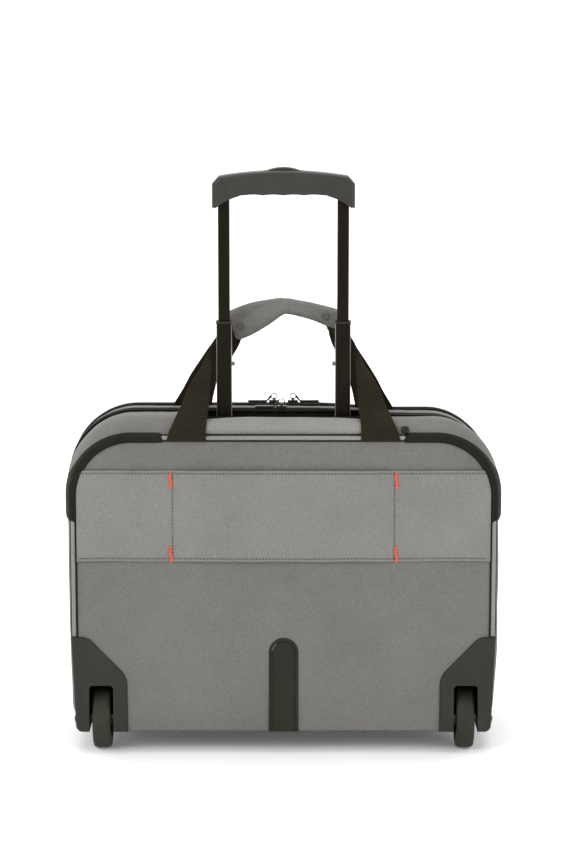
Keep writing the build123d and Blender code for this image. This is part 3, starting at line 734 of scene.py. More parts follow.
def sleeve_grid():
    rows, uvs = [], []
    levels = list(np.linspace(SLEEVE_LOW, SLEEVE_LOW + HEM, 7))
    levels += list(np.linspace(SLEEVE_LOW + HEM + 0.5, SLEEVE_TOP - HEM - 0.5, 30))
    levels += list(np.linspace(SLEEVE_TOP - HEM, SLEEVE_TOP, 7))
    for z in levels:
        w = face_width(REAR, z, PANEL_HALF, PANEL_TOP, PANEL_R) - 0.8
        xs = np.concatenate([
            np.linspace(-w, -SEAM_X - 4, 28), np.linspace(-SEAM_X - 3.2, -SEAM_X + 4, 9),
            np.linspace(-SEAM_X + 6, SEAM_X - 6, 80), np.linspace(SEAM_X - 4, SEAM_X + 3.2, 9),
            np.linspace(SEAM_X + 4, w, 28),
        ])
        rows.append([(x, REAR + sleeve_depth(x, z), z + 0.5 * wander((x, z, 0), 50, 12.0)) for x in xs])
        uvs.append([(x, z) for x in xs])
    return outward_grid("luggage_sleeve_fabric", rows, uvs)


sleeve = add_object("luggage_sleeve_fabric", sleeve_grid(), MAT["pale"], "case")
thicken(sleeve, 1.1)
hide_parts("luggage_sleeve")


def on_sleeve(x, z, out=0.25):
    """Point on the sleeve's outer side."""
    return (x, REAR + sleeve_depth(x, z) - out, z + 0.5 * wander((x, z, 0), 50, 12.0))


lines = []
for z in (SLEEVE_TOP - HEM - 0.6, SLEEVE_LOW + HEM + 0.6):
    lines.append([on_sleeve(x, z) for x in np.linspace(-213, 213, 200)])
for side in (-1, 1):
    lines.append([on_sleeve(side * SEAM_X, z) for z in np.linspace(SLEEVE_LOW + 1, SLEEVE_TOP - 1, 60)])
stitches("sleeve_stitches", lines, MAT["dark_thread"], "case", pitch=3.4, dash=1.5, radius=0.6)

TACK_STEPS, TACK_HALF = 24, 1.55
tacks = []
for side in (-1, 1):
    for z0, z1 in ((283.0, 299.8), (205.5, 222.0)):
        for k in range(TACK_STEPS):
            za, zb = z0 + (z1 - z0) * k / TACK_STEPS, z0 + (z1 - z0) * (k + 1) / TACK_STEPS
            x = side * (SEAM_X + 1.9) + 0.7 * math.sin(2.2 * math.pi * k / TACK_STEPS)
            left, right = on_sleeve(x - TACK_HALF, za, 0.7), on_sleeve(x + TACK_HALF, zb, 0.7)
            tacks.append((left, right))
            tacks.append((right, on_sleeve(x - TACK_HALF, zb, 0.7)))
tack_mesh = capsules("bartack_zigzags", tacks, 0.36)
bartacks = add_object("bartack_zigzags", tack_mesh, MAT["orange"], "case")
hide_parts("sleeve_bartacks")

# ---------------------------------------------------------------- edges of the rear panel
def edge_line(half, top, radius, y):
    """Line round the rear panel's edge at depth y."""
    points, _ = outline(half, top, radius, LOW)
    return [(math.copysign(side_at(REAR, z, half), x) if z < top - radius else x, y, z) for x, z in points]


def split_line(line, wanted):
    """Runs of a line where wanted(point) holds."""
    runs, run = [], []
    for p in line:
        if wanted(p):
            run.append(p)
        elif run:
            runs.append(run)
            run = []
    return runs + ([run] if run else [])


def joined(name, parts, material, body):
    """Several meshes as one piece."""
    def gather(bm):
        for part in parts:
            bm.from_mesh(part)
            bpy.data.meshes.remove(part)
    return add_object(name, edit_mesh(bpy.data.meshes.new(name), gather), material, body)


def cord(name, lines, wanted, radius, material, body, sides=8):
    """Cords along the runs of lines where wanted(point) holds, as one piece."""
    runs = [run for line in lines for run in split_line(line, wanted)]
    return joined(name, [tube_mesh("cord", run, radius, sides) for run in runs], material, body)


def above_housing(p):
    return not (abs(p[0]) > 160 and p[2] < 123.5)


BUMPER_END_X, BUMPER_LOW = 122.0, 245.0
piping_line = edge_line(PANEL_HALF + 3.0, PANEL_TOP + 3.2, PANEL_R + 2.0, REAR - 1.0)
piping = cord(
    "rear_piping_cord", [piping_line], above_housing, 2.35, MAT["piping"], "case", sides=14
)
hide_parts("rear_piping")
inner_seam = edge_line(PANEL_HALF + 0.3, PANEL_TOP + 0.4, PANEL_R, REAR - 1.5)
cord("rear_seam_binding", [inner_seam], above_housing, 1.15, MAT["binding"], "case")
outer_seam = edge_line(PANEL_HALF + 5.6, PANEL_TOP + 5.9, PANEL_R + 3.0, REAR + 1.2)
cord("rear_outer_seam", [outer_seam], above_housing, 0.9, MAT["binding"], "case")


def bumper(side, word):
    """Rubber strip round an upper corner: a rounded outer face with a thin lip on the panel."""
    points, normals = outline(PANEL_HALF, PANEL_TOP, PANEL_R, LOW, (60, 44, 90))
    track = [
        (p, n) for p, n in zip(points, normals)
        if p[0] * side > 0 and p[1] > BUMPER_LOW and abs(p[0]) > BUMPER_END_X
    ]
    profile = [  # outwards from the panel edge, depth in front of the rear face
        (-1.6, 0.6), (-1.9, -2.2), (-0.8, -3.6), (1.2, -4.3), (3.6, -4.4), (5.8, -3.5), (7.3, -1.6),
        (8.4, 1.4), (9.6, 5.0), (10.6, 8.8), (11.0, 11.5), (10.2, 13.2), (8.2, 13.0), (5.0, 8.0), (2.0, 3.0),
    ]
    rows = []
    count = len(track)
    for k, (p, n) in enumerate(track):
        end = min(k, count - 1 - k) / 1.2
        fat = min(1.0, 0.55 + 0.45 * end)
        half_here = side_at(REAR, p[1], PANEL_HALF) if p[1] < PANEL_TOP - PANEL_R else abs(p[0])
        base_x = math.copysign(half_here, p[0])
        row = []
        for out, deep in profile:
            wrap = max(n[0] * side, 0.0) ** 3 * unit((out - 8.0) / 2.5)
            far, back_to = (out + 0.8 * wrap) * fat, (deep + 3.0 * wrap) * fat
            row.append((base_x + n[0] * far, REAR + back_to, p[1] + n[1] * far))
        rows.append(row)
    name = f"corner_bumper_rubber_{word}"
    obj = add_object(name, loft("bumper", rows), MAT["bumper"], "case")
    rounded(obj)
    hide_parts(f"corner_bumper_{word}")


for side, word in SIDES:
    bumper(side, word)


# ---------------------------------------------------------------- zippers
PARTING = -3.4              # where the lid's zipper opens
TAPE_TUCK = 4.2             # how far a tape's sewn edge turns in under the fabric
TOOTH_PITCH = 1.9


def zipper(word, tape_span, coil_rows, body, low, replaced):
    """Woven tape with its sewn edges tucked in, its binding and rows of nylon teeth along it."""
    start, end = tape_span
    levels = [(start + (end - start) * t, 0.2 + 0.35 * math.sin(math.pi * t)) for t in np.linspace(0, 1, 7)]
    sewn = [y for y in tape_span if abs(y - PARTING) > 1.0]
    if start in sewn:
        levels.insert(0, (start - 0.3, -TAPE_TUCK))
    if end in sewn:
        levels.append((end + 0.3, -TAPE_TUCK))
    rows, uvs = [], []
    for y, proud in levels:
        points, normals, arc = ring(y, low)
        rows.append([(x + nx * proud, y, z + nz * proud) for (x, z), (nx, nz) in zip(points, normals)])
        uvs.append([(s, y - start) for s in arc])
    name = f"zipper_tape_{word}"
    tape = add_object(name, outward_grid(name, rows, uvs, off_recess), MAT["tape"], body)
    thicken(tape, 0.9)
    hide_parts(replaced)
    edges = [ring_line(y, 0.1, low) for y in sewn]
    cord(f"zipper_binding_{word}", edges, off_recess, 1.15, MAT["binding"], body)
    segments = []
    for y, lean in coil_rows:
        points, normals, arc = ring(y, low)
        centre = np.array([(x + nx * 1.05, y, z + nz * 1.05) for (x, z), (nx, nz) in zip(points, normals)])
        for k in range(int(arc[-1] // TOOTH_PITCH)):
            s = 1.0 + TOOTH_PITCH * k + (TOOTH_PITCH / 2 if lean > 0 else 0.0)
            mid = np.array([np.interp(s, arc, centre[:, a]) for a in range(3)])
            ahead = np.array([np.interp(s + 1.0, arc, centre[:, a]) for a in range(3)]) - mid
            ahead /= np.linalg.norm(ahead) + 1e-9
            segments.append((mid + ahead * 0.25 - (0, 1.25, 0), mid - ahead * 0.25 + (0, 1.25, 0)))
    name = f"zipper_teeth_{word}"
    add_object(name, capsules(name, segments, 0.52, 5), MAT["coil"], body)


zipper("rear", (-47.4, -39.6), ((-44.5, -1), (-42.6, 1)), "case", ZIPPER_LOW, "rear_zipper")
zipper("case", (-8.5, -3.6), ((-4.7, -1),), "case", ZIPPER_LOW, "case_zipper")
zipper("lid", (-3.2, 9.0), ((-2.3, 1),), "lid", LID_LOW, "lid_zipper")
SEAMS = (
    (-49.4, "case", ZIPPER_LOW), (-37.6, "case", ZIPPER_LOW),
    (-10.6, "case", ZIPPER_LOW), (11.2, "lid", LID_LOW),
)
for k, (y, body, low) in enumerate(SEAMS):
    runs = split_line(ring_line(y, 0.65, low), off_recess)
    stitches(f"zipper_stitches_{k}", runs, MAT["thread"], body, pitch=3.4, dash=2.3, radius=0.24)

# ---------------------------------------------------------------- padded pieces
CLOTH_FRAMES = 20
ROLL_END = 89.0


def swell(obj, voxel, cap):
    """Inflates a closed form with the cloth solver and keeps the result."""
    bpy.context.view_layer.update()
    remesh = obj.modifiers.new("remesh", "REMESH")
    remesh.mode = "VOXEL"
    remesh.voxel_size = voxel * MM
    apply_modifiers(obj)
    start = vertex_array(obj.data)
    cloth = obj.modifiers.new("cloth", "CLOTH")
    cloth.settings.quality = 5
    cloth.settings.mass = 0.25
    cloth.settings.tension_stiffness = 12
    cloth.settings.compression_stiffness = 6
    cloth.settings.bending_stiffness = 0.4
    cloth.settings.use_pressure = True
    cloth.settings.uniform_pressure_force = 4.0
    cloth.settings.effector_weights.gravity = 0.0
    cloth.collision_settings.use_collision = False
    cloth.point_cache.frame_start = 1
    cloth.point_cache.frame_end = CLOTH_FRAMES
    for frame_number in range(1, CLOTH_FRAMES + 1):
        bpy.context.scene.frame_set(frame_number)
    apply_modifiers(obj)
    bpy.context.scene.frame_set(1)
    move = vertex_array(obj.data) - start
    far = np.linalg.norm(move, axis=1, keepdims=True)
    move *= np.minimum(1.0, cap * MM / np.maximum(far, 1e-9))
    obj.data.vertices.foreach_set("co", (start + move).ravel())
    obj.data.update()


def vertex_array(mesh):
    """Vertex places in metres, one row each."""
    co = np.zeros(len(mesh.vertices) * 3)
    mesh.vertices.foreach_get("co", co)
    return co.reshape(-1, 3)


def apply_modifiers(obj):
    """Makes the shape that the modifiers give the piece's own."""
    graph = bpy.context.evaluated_depsgraph_get()
    made = bpy.data.meshes.new_from_object(obj.evaluated_get(graph))
    old = obj.data
    obj.modifiers.clear()
    obj.data = made
    made.name = old.name + "_made"
    bpy.data.meshes.remove(old)


def settle(obj, shape):
    """Moves each vertex of a padded piece with shape(x, y, z) in mm, then smooths it."""
    co = vertex_array(obj.data) / MM
    co = np.array([shape(*p) for p in co])
    obj.data.vertices.foreach_set("co", (co * MM).ravel())
    obj.data.polygons.foreach_set("use_smooth", [True] * len(obj.data.polygons))
    obj.data.update()
    rounded(obj)


def padded_piece(name, mesh, material, body, voxel, cap, shape):
    """Cushion swollen by at most cap mm from mesh, then shaped. voxel is the size of its faces in mm."""
    obj = add_object(name, mesh, material, None)
    swell(obj, voxel, cap)
    settle(obj, shape)
    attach(obj, body)
    return obj


def roll_sections():
    """Padded roll in front of the handle's recess, tucked under the straps at both ends."""
    profile = [
        (-105.4, 339.6), (-107.4, 341.6), (-108.0, 345.0), (-106.6, 348.8), (-103.4, 351.6), (-98.0, 353.2),
        (-92.0, 353.6), (-86.5, 353.4), (-82.6, 352.2), (-81.0, 349.4), (-81.0, 345.0), (-84.0, 342.4),
        (-90.0, 341.4), (-96.0, 340.6), (-101.0, 339.6),
    ]
    sections = []
    for x in np.linspace(-ROLL_END, ROLL_END, 60):
        end = min((ROLL_END - abs(x)) / 8.0, 1.0)
        fat = 0.35 + 0.65 * math.sqrt(max(end, 0.0))
        sections.append([(x, -94.0 + (y + 94.0) * fat, 345.0 + (z - 345.0) * fat) for y, z in profile])
    return sections


def roll_shape(x, y, z):
    gather = 0.25 * math.sin(x / 4.3 + y / 9.0) * math.exp(-(ROLL_END - abs(x)) / 14.0)
    d = 0.5 * wander((x, y, z), 24, 21.0) + gather
    return x, y - d * 0.6, z + d


roll = padded_piece(
    "padded_roll", loft("padded_roll", roll_sections()), MAT["pale_soft"], "case", 3.0, 2.0, roll_shape
)
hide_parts("grip_flap")

# binding round the recess: a rounded oblong that dips under the roll
RIM_POWER = 0.22
rim = []
for a in np.linspace(0, 2 * math.pi, 121)[:-1]:
    c, s = math.cos(a), math.sin(a)
    x = RECESS[0] * math.copysign(abs(c) ** RIM_POWER, c)
    y = (RECESS[1] + RECESS[2]) / 2 + 17.8 * math.copysign(abs(s) ** RIM_POWER, s)
    lift = 353.2 if y < -72 and abs(x) < 81 else 355.5
    rim.append((x, y, lift))
rim = [tuple(np.mean([rim[(k + d) % len(rim)] for d in (-2, -1, 0, 1, 2)], axis=0)) for k in range(len(rim))]
rim_mesh = tube_mesh("recess_binding", rim, 1.5, 10, closed=True)
add_object("recess_binding", rim_mesh, MAT["binding"], "case")


# ---------------------------------------------------------------- carry handle
def curve_through(values, count):
    """Smooth curve (Catmull-Rom) through rows of values."""
    values = np.array(values, float)
    padded = np.vstack([2 * values[0] - values[1], values, 2 * values[-1] - values[-2]])
    made = []
    spans = len(values) - 1
    for k in range(count + 1):
        u = min(k / count * spans, spans - 1e-9)
        i = int(u)
        t = u - i
        a, b, c, d = padded[i:i + 4]
        bend, twist = 2 * a - 5 * b + 4 * c - d, 3 * b - a - 3 * c + d
        made.append(0.5 * (2 * b + (c - a) * t + bend * t ** 2 + twist * t ** 3))
    return np.array(made)


STRAP_WIDTH = 38.0


def strap(name, edges, side, cup, replaced, seed):
    """Webbing between an outer and an inner edge, given as rows (outer x, z, y, inner x, z, y)."""
    rows = curve_through(edges, 70)
    grid, uvs = [], []
    run = 0.0
    for k, (ox, oz, oy, ix, iz, iy) in enumerate(rows):
        outer, inner = np.array((ox * side, oy, oz)), np.array((ix * side, iy, iz))
        if k:
            run += np.linalg.norm((outer + inner) / 2 - last)
        last = (outer + inner) / 2
        row, uv = [], []
        for j in range(13):
            t = j / 12
            p = outer + (inner - outer) * t
            bow = cup * math.sin(math.pi * t) * math.sin(math.pi * min(k / 55.0, 1.0))
            wave = 0.5 * wander(p, 22, seed)
            row.append((p[0], p[1] - bow - wave, p[2]))
            uv.append((t * STRAP_WIDTH, run))
        grid.append(row)
        uvs.append(uv)
    if side < 0:
        mesh = outward_grid(name, grid, uvs)
    else:
        mesh = grid_mesh(name, np.array(grid), np.array(uvs))
    obj = add_object(name, mesh, MAT["webbing"], None)
    thicken(obj, 2.2, 0.0)
    bevel = obj.modifiers.new("edge", "BEVEL")
    bevel.width = 0.6 * MM
    bevel.segments = 2
    bevel.limit_method = "ANGLE"
    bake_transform(obj)
    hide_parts(replaced)


NEAR = [
    (121, 333.6, -108.6, 80, 333.6, -108.8), (119, 341, -108.2, 80.5, 341, -109.8),
    (115.5, 349, -104.2, 80, 349, -107.2), (110.5, 359, -96.5, 78.8, 358, -100.5),
    (106, 368, -89.5, 77.4, 367, -93.5), (101.5, 380, -81, 76.6, 379, -84),
    (93.5, 394, -71.5, 76, 392, -75.5), (85, 406, -62.5, 75.2, 404, -67), (79, 419, -54, 74.4, 414, -56),
    (72, 432, -47, 71.5, 424, -47), (60, 447, -38, 57, 435, -39), (50, 455, -33, 46, 441, -34),
]
FAR = [
    (117, 357.4, -12, 77, 357.6, -12), (115.5, 361, -13.5, 76, 361, -13.5), (107, 375, -16, 73, 375, -15),
    (99, 390, -18, 69, 388, -16), (88, 407, -20, 57, 406, -18), (77, 423, -22, 48, 421, -20),
    (66, 438, -24, 44, 432, -22), (56, 449, -26, 42, 440, -24), (48, 455, -27, 38, 446, -26),
]
FAR_RIGHT = [  # the same, sunk with the right side of the top
    (
        ox, oz - 0.9 * slump(ox, oy, oz)[1], oy,
        ix + (5.0 if iz > 400 else 0.0), iz - 0.9 * slump(ix, iy, iz)[1], iy,
    )
    for ox, oz, oy, ix, iz, iy in FAR
]
for side, word in SIDES:
    near, far = f"carry_webbing_near_{word}", f"carry_webbing_far_{word}"
    far_edges = FAR if side < 0 else FAR_RIGHT
    strap(near, NEAR, side, 1.6, f"carry_strap_rear_{word}", 31.0 + side)
    strap(far, far_edges, side, -1.2, f"carry_strap_front_{word}", 35.0 + side)

# wrap: padded sleeve of fabric folded round both straps
WRAP = [  # x, top z, bottom z, half depth
    (-55.0, 459.0, 429.0, 10.0), (-52.0, 461.2, 428.2, 10.4), (-46.0, 464.0, 430.2, 10.6),
    (-30.0, 470.0, 437.4, 11.0), (-15.0, 473.0, 445.5, 12.0), (-4.0, 474.6, 453.0, 12.5),
    (2.0, 474.4, 455.6, 12.8), (10.0, 473.0, 455.2, 12.8), (24.0, 470.2, 452.4, 12.6),
    (38.0, 466.8, 448.0, 12.4), (48.0, 464.4, 443.6, 12.0), (54.0, 462.6, 440.6, 11.6),
    (60.0, 459.0, 437.6, 10.0),
]
WRAP_MID_Y = -31.0
WRAP_SLACK = 0.93           # the padding's size before it is swollen
WRAP_SEAM = 2.0


def wrap_at(x):
    """Top, bottom and half depth of the wrap at x."""
    rows = np.array(WRAP)
    return [np.interp(x, rows[:, 0], rows[:, k]) for k in (1, 2, 3)]


def wrap_section(row):
    """Rounded section whose ends lean over, as the wrap is cut square to its own line."""
    x, top, low, deep = row
    lean = -0.36 if x < 0 else 0.30
    share = min(abs(x) / 40.0, 1.0)
    mid, half = (top + low) / 2, (top - low) / 2
    points = []
    for k in range(26):
        a = 2 * math.pi * k / 26
        c, s = math.cos(a), math.sin(a)
        dz = half * WRAP_SLACK * math.copysign(abs(s) ** 0.8, s)
        dy = deep * WRAP_SLACK * math.copysign(abs(c) ** 0.72, c)
        points.append((x + lean * share * dz, WRAP_MID_Y + dy, mid + dz))
    return points


def wrap_front(x, drop, out=0.0):
    """Point on the wrap's near face, drop from 0 at its top edge to 1 at its bottom edge."""
    top, low, deep = wrap_at(x)
    s = 1 - 2 * drop
    c = max(1 - abs(s) ** 2.5, 0.0) ** 0.36
    return x, WRAP_MID_Y - deep * c - out, (top + low) / 2 + (top - low) / 2 * s


def wrap_shape(x, y, z):
    """A crease along each half of the near face, a tight seam between them and small folds."""
    top, low, _ = wrap_at(x)
    drop = (top - z) / (top - low)
    near = 1.0 if y < WRAP_MID_Y else 0.0
    if x < WRAP_SEAM:
        line = 0.13 + 0.16 * min(-x / 50.0, 1.0)
        crease = 1.5 * math.exp(-((drop - line) / 0.06) ** 2)
    else:
        crease = 0.9 * math.exp(-((drop - 0.42) / 0.07) ** 2)
    seam = math.exp(-((x - WRAP_SEAM) / 1.3) ** 2)
    pucker = 0.35 * math.sin(x / 3.4 + z / 5.0) * math.exp(-abs(x - WRAP_SEAM) / 12.0)
    folds = 0.7 * wander((x * 0.5, y, z), 13, 41.0) + pucker
    mid = (top + low) / 2
    radial_z = (z - mid) / max(top - mid, 1.0)
    z -= seam * radial_z
    y += near * (crease + seam * 0.7) - folds * (0.6 if near else -0.4)
    return x, y, z + folds * 0.25 * radial_z


wrap_mesh = loft("carry_wrap_padding", [wrap_section(r) for r in curve_through(WRAP, 48)])
wrap_fabric = fabric("wrap_fabric", SHELL_GREY, 0.75, uv=False)
wrap = padded_piece("carry_wrap_padding", wrap_mesh, wrap_fabric, "carry", 2.4, 1.8, wrap_shape)
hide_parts("carry_wrap")
crease_line = [wrap_front(x, 0.11 + 0.16 * min(-x / 50.0, 1.0), 0.4) for x in np.linspace(-54, 0, 40)]
end_left = [wrap_front(-50.0 - 5.5 * (0.5 - d), d, 0.5) for d in np.linspace(0.06, 0.94, 20)]
end_right = [wrap_front(50.5 + 4.0 * (0.5 - d), d, 0.5) for d in np.linspace(0.06, 0.94, 20)]
seam_mid = [wrap_front(4.6, d, 0.3) for d in np.linspace(0.04, 0.96, 16)]
wrap_lines = [crease_line, end_left, end_right, seam_mid]
stitches("wrap_stitches", wrap_lines, MAT["thread"], "carry", 3.0, 2.0, 0.26)


def disc_profile(name, centre, radii):
    """Turned button facing -Y: rows of (radius, height above its base), in mm."""
    x, y, z = centre
    angles = np.linspace(0, 2 * math.pi, 29)[:-1]
    return loft(name, [
        [(x + radius * math.cos(a), y - height, z + radius * math.sin(a)) for a in angles]
        for radius, height in radii
    ])


snap_rows = [(0.3, 0.5), (1.6, 0.5), (2.1, 0.9), (2.8, 1.1), (3.4, 0.8), (3.6, 0.1), (3.4, -0.8)]
snap_places = [wrap_front(-44.5, 0.60, 0.2), wrap_front(44.0, 0.50, 0.2)]
snap_parts = [disc_profile("snap", place, snap_rows) for place in snap_places]
snaps = joined("wrap_snap_caps", snap_parts, MAT["snap"], "carry")
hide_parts("wrap_snaps")

# small slider where the rear zipper ends, by the right strap
stop_rows = []
for height, shrink in ((-1.0, 0.6), (0.4, 0.0), (2.2, 0.0), (3.0, 0.9)):
    w, h = 4.0 - shrink, 3.6 - shrink
    corners = [
        (-w, -h * 0.6), (-w * 0.6, -h), (w * 0.6, -h), (w, -h * 0.6),
        (w, h * 0.6), (w * 0.6, h), (-w * 0.6, h), (-w, h * 0.6),
    ]
    stop_rows.append([(125.5 + a, -103.2 - height, 344.6 + b) for a, b in corners])
tab_line = [(123.0, -106.6, 346.0), (126.0, -107.4, 344.0), (129.5, -106.8, 341.0)]
stop_tab = tube_mesh("tab", tab_line, (1.8, 0.7), 10, flat_way=(0, 1, 0))
joined("rear_zipper_end_slider", [loft("stop", stop_rows), stop_tab], MAT["coil"], "case")

# ---------------------------------------------------------------- front pockets and hinge tape
def oblong(half, z0, z1, corner, y, steps):
    """Points round a rectangle with rounded corners at depth y."""
    points = []
    for cx, cz, start in (
        (half - corner, z1 - corner, 0), (-half + corner, z1 - corner, 90),
        (-half + corner, z0 + corner, 180), (half - corner, z0 + corner, 270),
    ):
        for k in range(steps + 1):
            a = math.radians(start + 90 * k / steps)
            points.append((cx + corner * math.cos(a), y, cz + corner * math.sin(a)))
    return points


def pillow_sections(half, z0, z1, corner, thick):
    """Rounded rectangular pad on the front panel as rings from its back to its crown."""
    rows = [(1.5, 0.0), (0.2, 0.25), (0.0, 0.5), (0.9, 0.75), (3.2, 0.92), (8.0, 1.0)]
    return [
        oblong(half - shrink, z0 + shrink, z1 - shrink, max(corner - shrink, 2.0), FRONT + thick * t, 8)
        for shrink, t in rows
    ]


def pocket_shape(seed, z0, z1, half):
    """Shape of a pocket's padding: the back stays on the panel, the front is soft."""
    def shape(x, y, z):
        if y < FRONT + 1.4:
            return x, max(y, FRONT + front_depth(x, z, 60.0) - 0.7), z
        edge = min(half - abs(x), z - z0, z1 - z)
        d = 1.0 * wander((x, z, 2.0), 55, seed) + 0.4 * wander((x, z, 2.0), 20, seed + 2)
        d *= 1 - math.exp(-max(edge, 0.0) / 14.0)
        d += 0.3 * math.sin((x + z) / 3.4) * math.exp(-max(edge, 0.0) / 5.0)
        return x, y + d, z
    return shape


big = padded_piece(
    "front_pocket_padding", loft("front_pocket_padding", pillow_sections(177, 49, 205, 22, 6.0)),
    MAT["shell_soft"], "lid", 4.5, 2.4, pocket_shape(51.0, 49, 205, 177),
)
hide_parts("front_pocket")
small = padded_piece(
    "upper_pocket_padding", loft("upper_pocket_padding", pillow_sections(157, 219, 291, 18, 3.4)),
    MAT["pale_soft"], "lid", 4.0, 1.4, pocket_shape(55.0, 219, 291, 157),
)
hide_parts("upper_pocket")


for word, half, z0, z1, corner in (("big", 178.5, 47.5, 206.5, 23.0), ("small", 158.5, 217.5, 292.5, 19.0)):
    name = f"{word}_pocket_cord"
    edge_mesh = tube_mesh(name, oblong(half, z0, z1, corner, 105.9, 12), 1.5, 10, closed=True)
    add_object(name, edge_mesh, MAT["binding"], "lid")


def pocket_zipper(name, half, z, y):
    """Closed straight zipper on the lid: tape, two rows of teeth, slider and pull."""
    xs = np.linspace(-half, half, 60)
    steps = [k / 6 for k in range(7)]
    rows = [[(x, y + 0.25 * math.sin(math.pi * t), z + 7.0 * (0.5 - t)) for x in xs] for t in steps]
    uvs = [[(x, 7.0 * t) for x in xs] for t in steps]
    tape_mesh = outward_grid(name + "_tape", rows, uvs)
    tape = add_object(name + "_tape", tape_mesh, MAT["tape"], "lid")
    thicken(tape, 0.8)
    segments = []
    for k in range(int(2 * half // TOOTH_PITCH)):
        for shift, lean in ((0.0, 0.95), (0.95, -0.95)):
            x = -half + TOOTH_PITCH * k + shift
            segments.append(((x, y + 0.7, z + lean - 1.2), (x + 0.5, y + 0.7, z + lean + 1.2)))
    teeth_mesh = capsules(name + "_teeth", segments, 0.5, 5)
    add_object(name + "_teeth", teeth_mesh, MAT["coil"], "lid")
    body = [[(half - 16 + a, y + h, z + b * (1 - 0.25 * (a > 6))) for a, b in (
        (0, -3.4), (10, -3.4), (12, -1.5), (12, 1.5), (10, 3.4), (0, 3.4), (-1.4, 1.5), (-1.4, -1.5))]
        for h in (0.8, 1.6, 2.6, 2.9)]
    tab = [[(half - 16 - 24 * t, y + 2.7 + 0.3 * math.sin(3 * t), z + w) for t in np.linspace(0, 1, 14)]
           for w in (-2.6, -1.3, 0, 1.3, 2.6)]
    tab = grid_mesh("tab", np.array(tab)[::-1])
    joined(name + "_slider", [loft("slider", body)], MAT["dark_steel"], "lid")
    thicken(add_object(name + "_tab", tab, MAT["binding"], "lid"), 1.4, 1.0)


pocket_zipper("big_pocket_zipper", 150, 190, 113.4)
pocket_zipper("small_pocket_zipper", 133, 279, 109.2)

tape_xs, tape_steps = np.linspace(-170, 170, 70), np.linspace(0, 1, 9)
tape_rows = [
    [(x, FRONT - 0.2 + 0.9 * math.sin(math.pi * t), 24.4 + 11.0 * t) for x in tape_xs] for t in tape_steps
]
tape_uv = [[(x, 11.0 * t) for x in tape_xs] for t in tape_steps]
hinge_mesh = outward_grid("lid_hinge_webbing", tape_rows, tape_uv)
hinge_tape = add_object("lid_hinge_webbing", hinge_mesh, MAT["webbing"], None)
thicken(hinge_tape, 1.2)
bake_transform(hinge_tape)
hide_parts("lid_hinge_tape")

# webbing that holds the computer against the divider, slack between its sewn ends
INNER_STRAP_HALF, INNER_STRAP_LOW, INNER_STRAP_TOP = 19.0, 60.0, 290.0
DIVIDER_FACE = -43.4


def inner_strap_depth(x, z):
    t = (z - INNER_STRAP_LOW) / (INNER_STRAP_TOP - INNER_STRAP_LOW)
    slack = math.sin(math.pi * unit((t - 0.07) / 0.86)) ** 0.7
    cup = 0.7 * (1 - (x / INNER_STRAP_HALF) ** 2)
    return DIVIDER_FACE + 1.0 + slack * (5.0 + 1.2 * wander((x, 0, z), 60, 31.0) + cup)


inner_rows, inner_uv = [], []
for z in np.linspace(INNER_STRAP_LOW, INNER_STRAP_TOP, 80):
    across = np.linspace(INNER_STRAP_HALF, -INNER_STRAP_HALF, 13)
    inner_rows.append([(x, inner_strap_depth(x, z), z) for x in across])
    inner_uv.append([(x, z) for x in across])
inner_mesh = grid_mesh("computer_strap_webbing", np.array(inner_rows), np.array(inner_uv))
inner_strap = add_object("computer_strap_webbing", inner_mesh, MAT["webbing"], "case")
thicken(inner_strap, 1.8, 0.0)
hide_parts("laptop_strap")
tack_lines = []
for z in (64.0, 70.0, 76.0, 274.0, 280.0, 286.0):
    tack_lines.append([(x, inner_strap_depth(x, z) + 1.1, z) for x in np.linspace(-15, 15, 16)])
stitches("computer_strap_stitches", tack_lines, MAT["thread"], "case", 3.0, 2.0, 0.3)

# ---------------------------------------------------------------- parts kept from the CAD
KEPT = {
    "back_board": "board", "base_tray": "dark_plastic", "divider_panel": "lining", "centre_skid": "skid",
    "front_feet": "tyre", "outer_tubes": "tube", "tube_foot_bracket": "dark_plastic",
    "handle_bezel": "dark_plastic", "wheel_housing_left": "housing", "wheel_housing_right": "housing",
    "wheel_axles": "steel", "housing_screws": "steel", "wheel_tyre_left": "tyre", "wheel_tyre_right": "tyre",
    "wheel_hub_left": "dark_plastic", "wheel_hub_right": "dark_plastic",
    "wheel_bearings_left": "steel", "wheel_bearings_right": "steel",
    "handle_stage1_tubes": "tube_stage1", "handle_stage2_tubes": "tube_wide", "stage2_collars": "collar",
    "handle_stage3_tubes": "tube", "grip_upper_shell": "grip", "grip_lower_shell": "grip",
    "release_button": "button", "push_rods": "steel", "lock_pin_left": "steel", "lock_pin_right": "steel",
    "zip_slider_left": "dark_steel", "zip_slider_right": "dark_steel", "zip_slider_rear": "dark_steel",
    "zip_pull_left": "dark_steel", "zip_pull_right": "dark_steel", "zip_pull_rear": "dark_steel",
}
MAT["skid"] = moulding("skid_plastic", (0.017, 0.017, 0.011), 0.42, specular=0.15)
MAT["collar"] = moulding("collar_plastic", (0.022, 0.019, 0.014), 0.4)
MAT["button"] = moulding("button_plastic", (0.036, 0.035, 0.031), 0.38, grain=2200.0, depth=0.00006)
for node, key in KEPT.items():
    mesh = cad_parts[node].data
    mesh.materials.clear()
    mesh.materials.append(MAT[key])

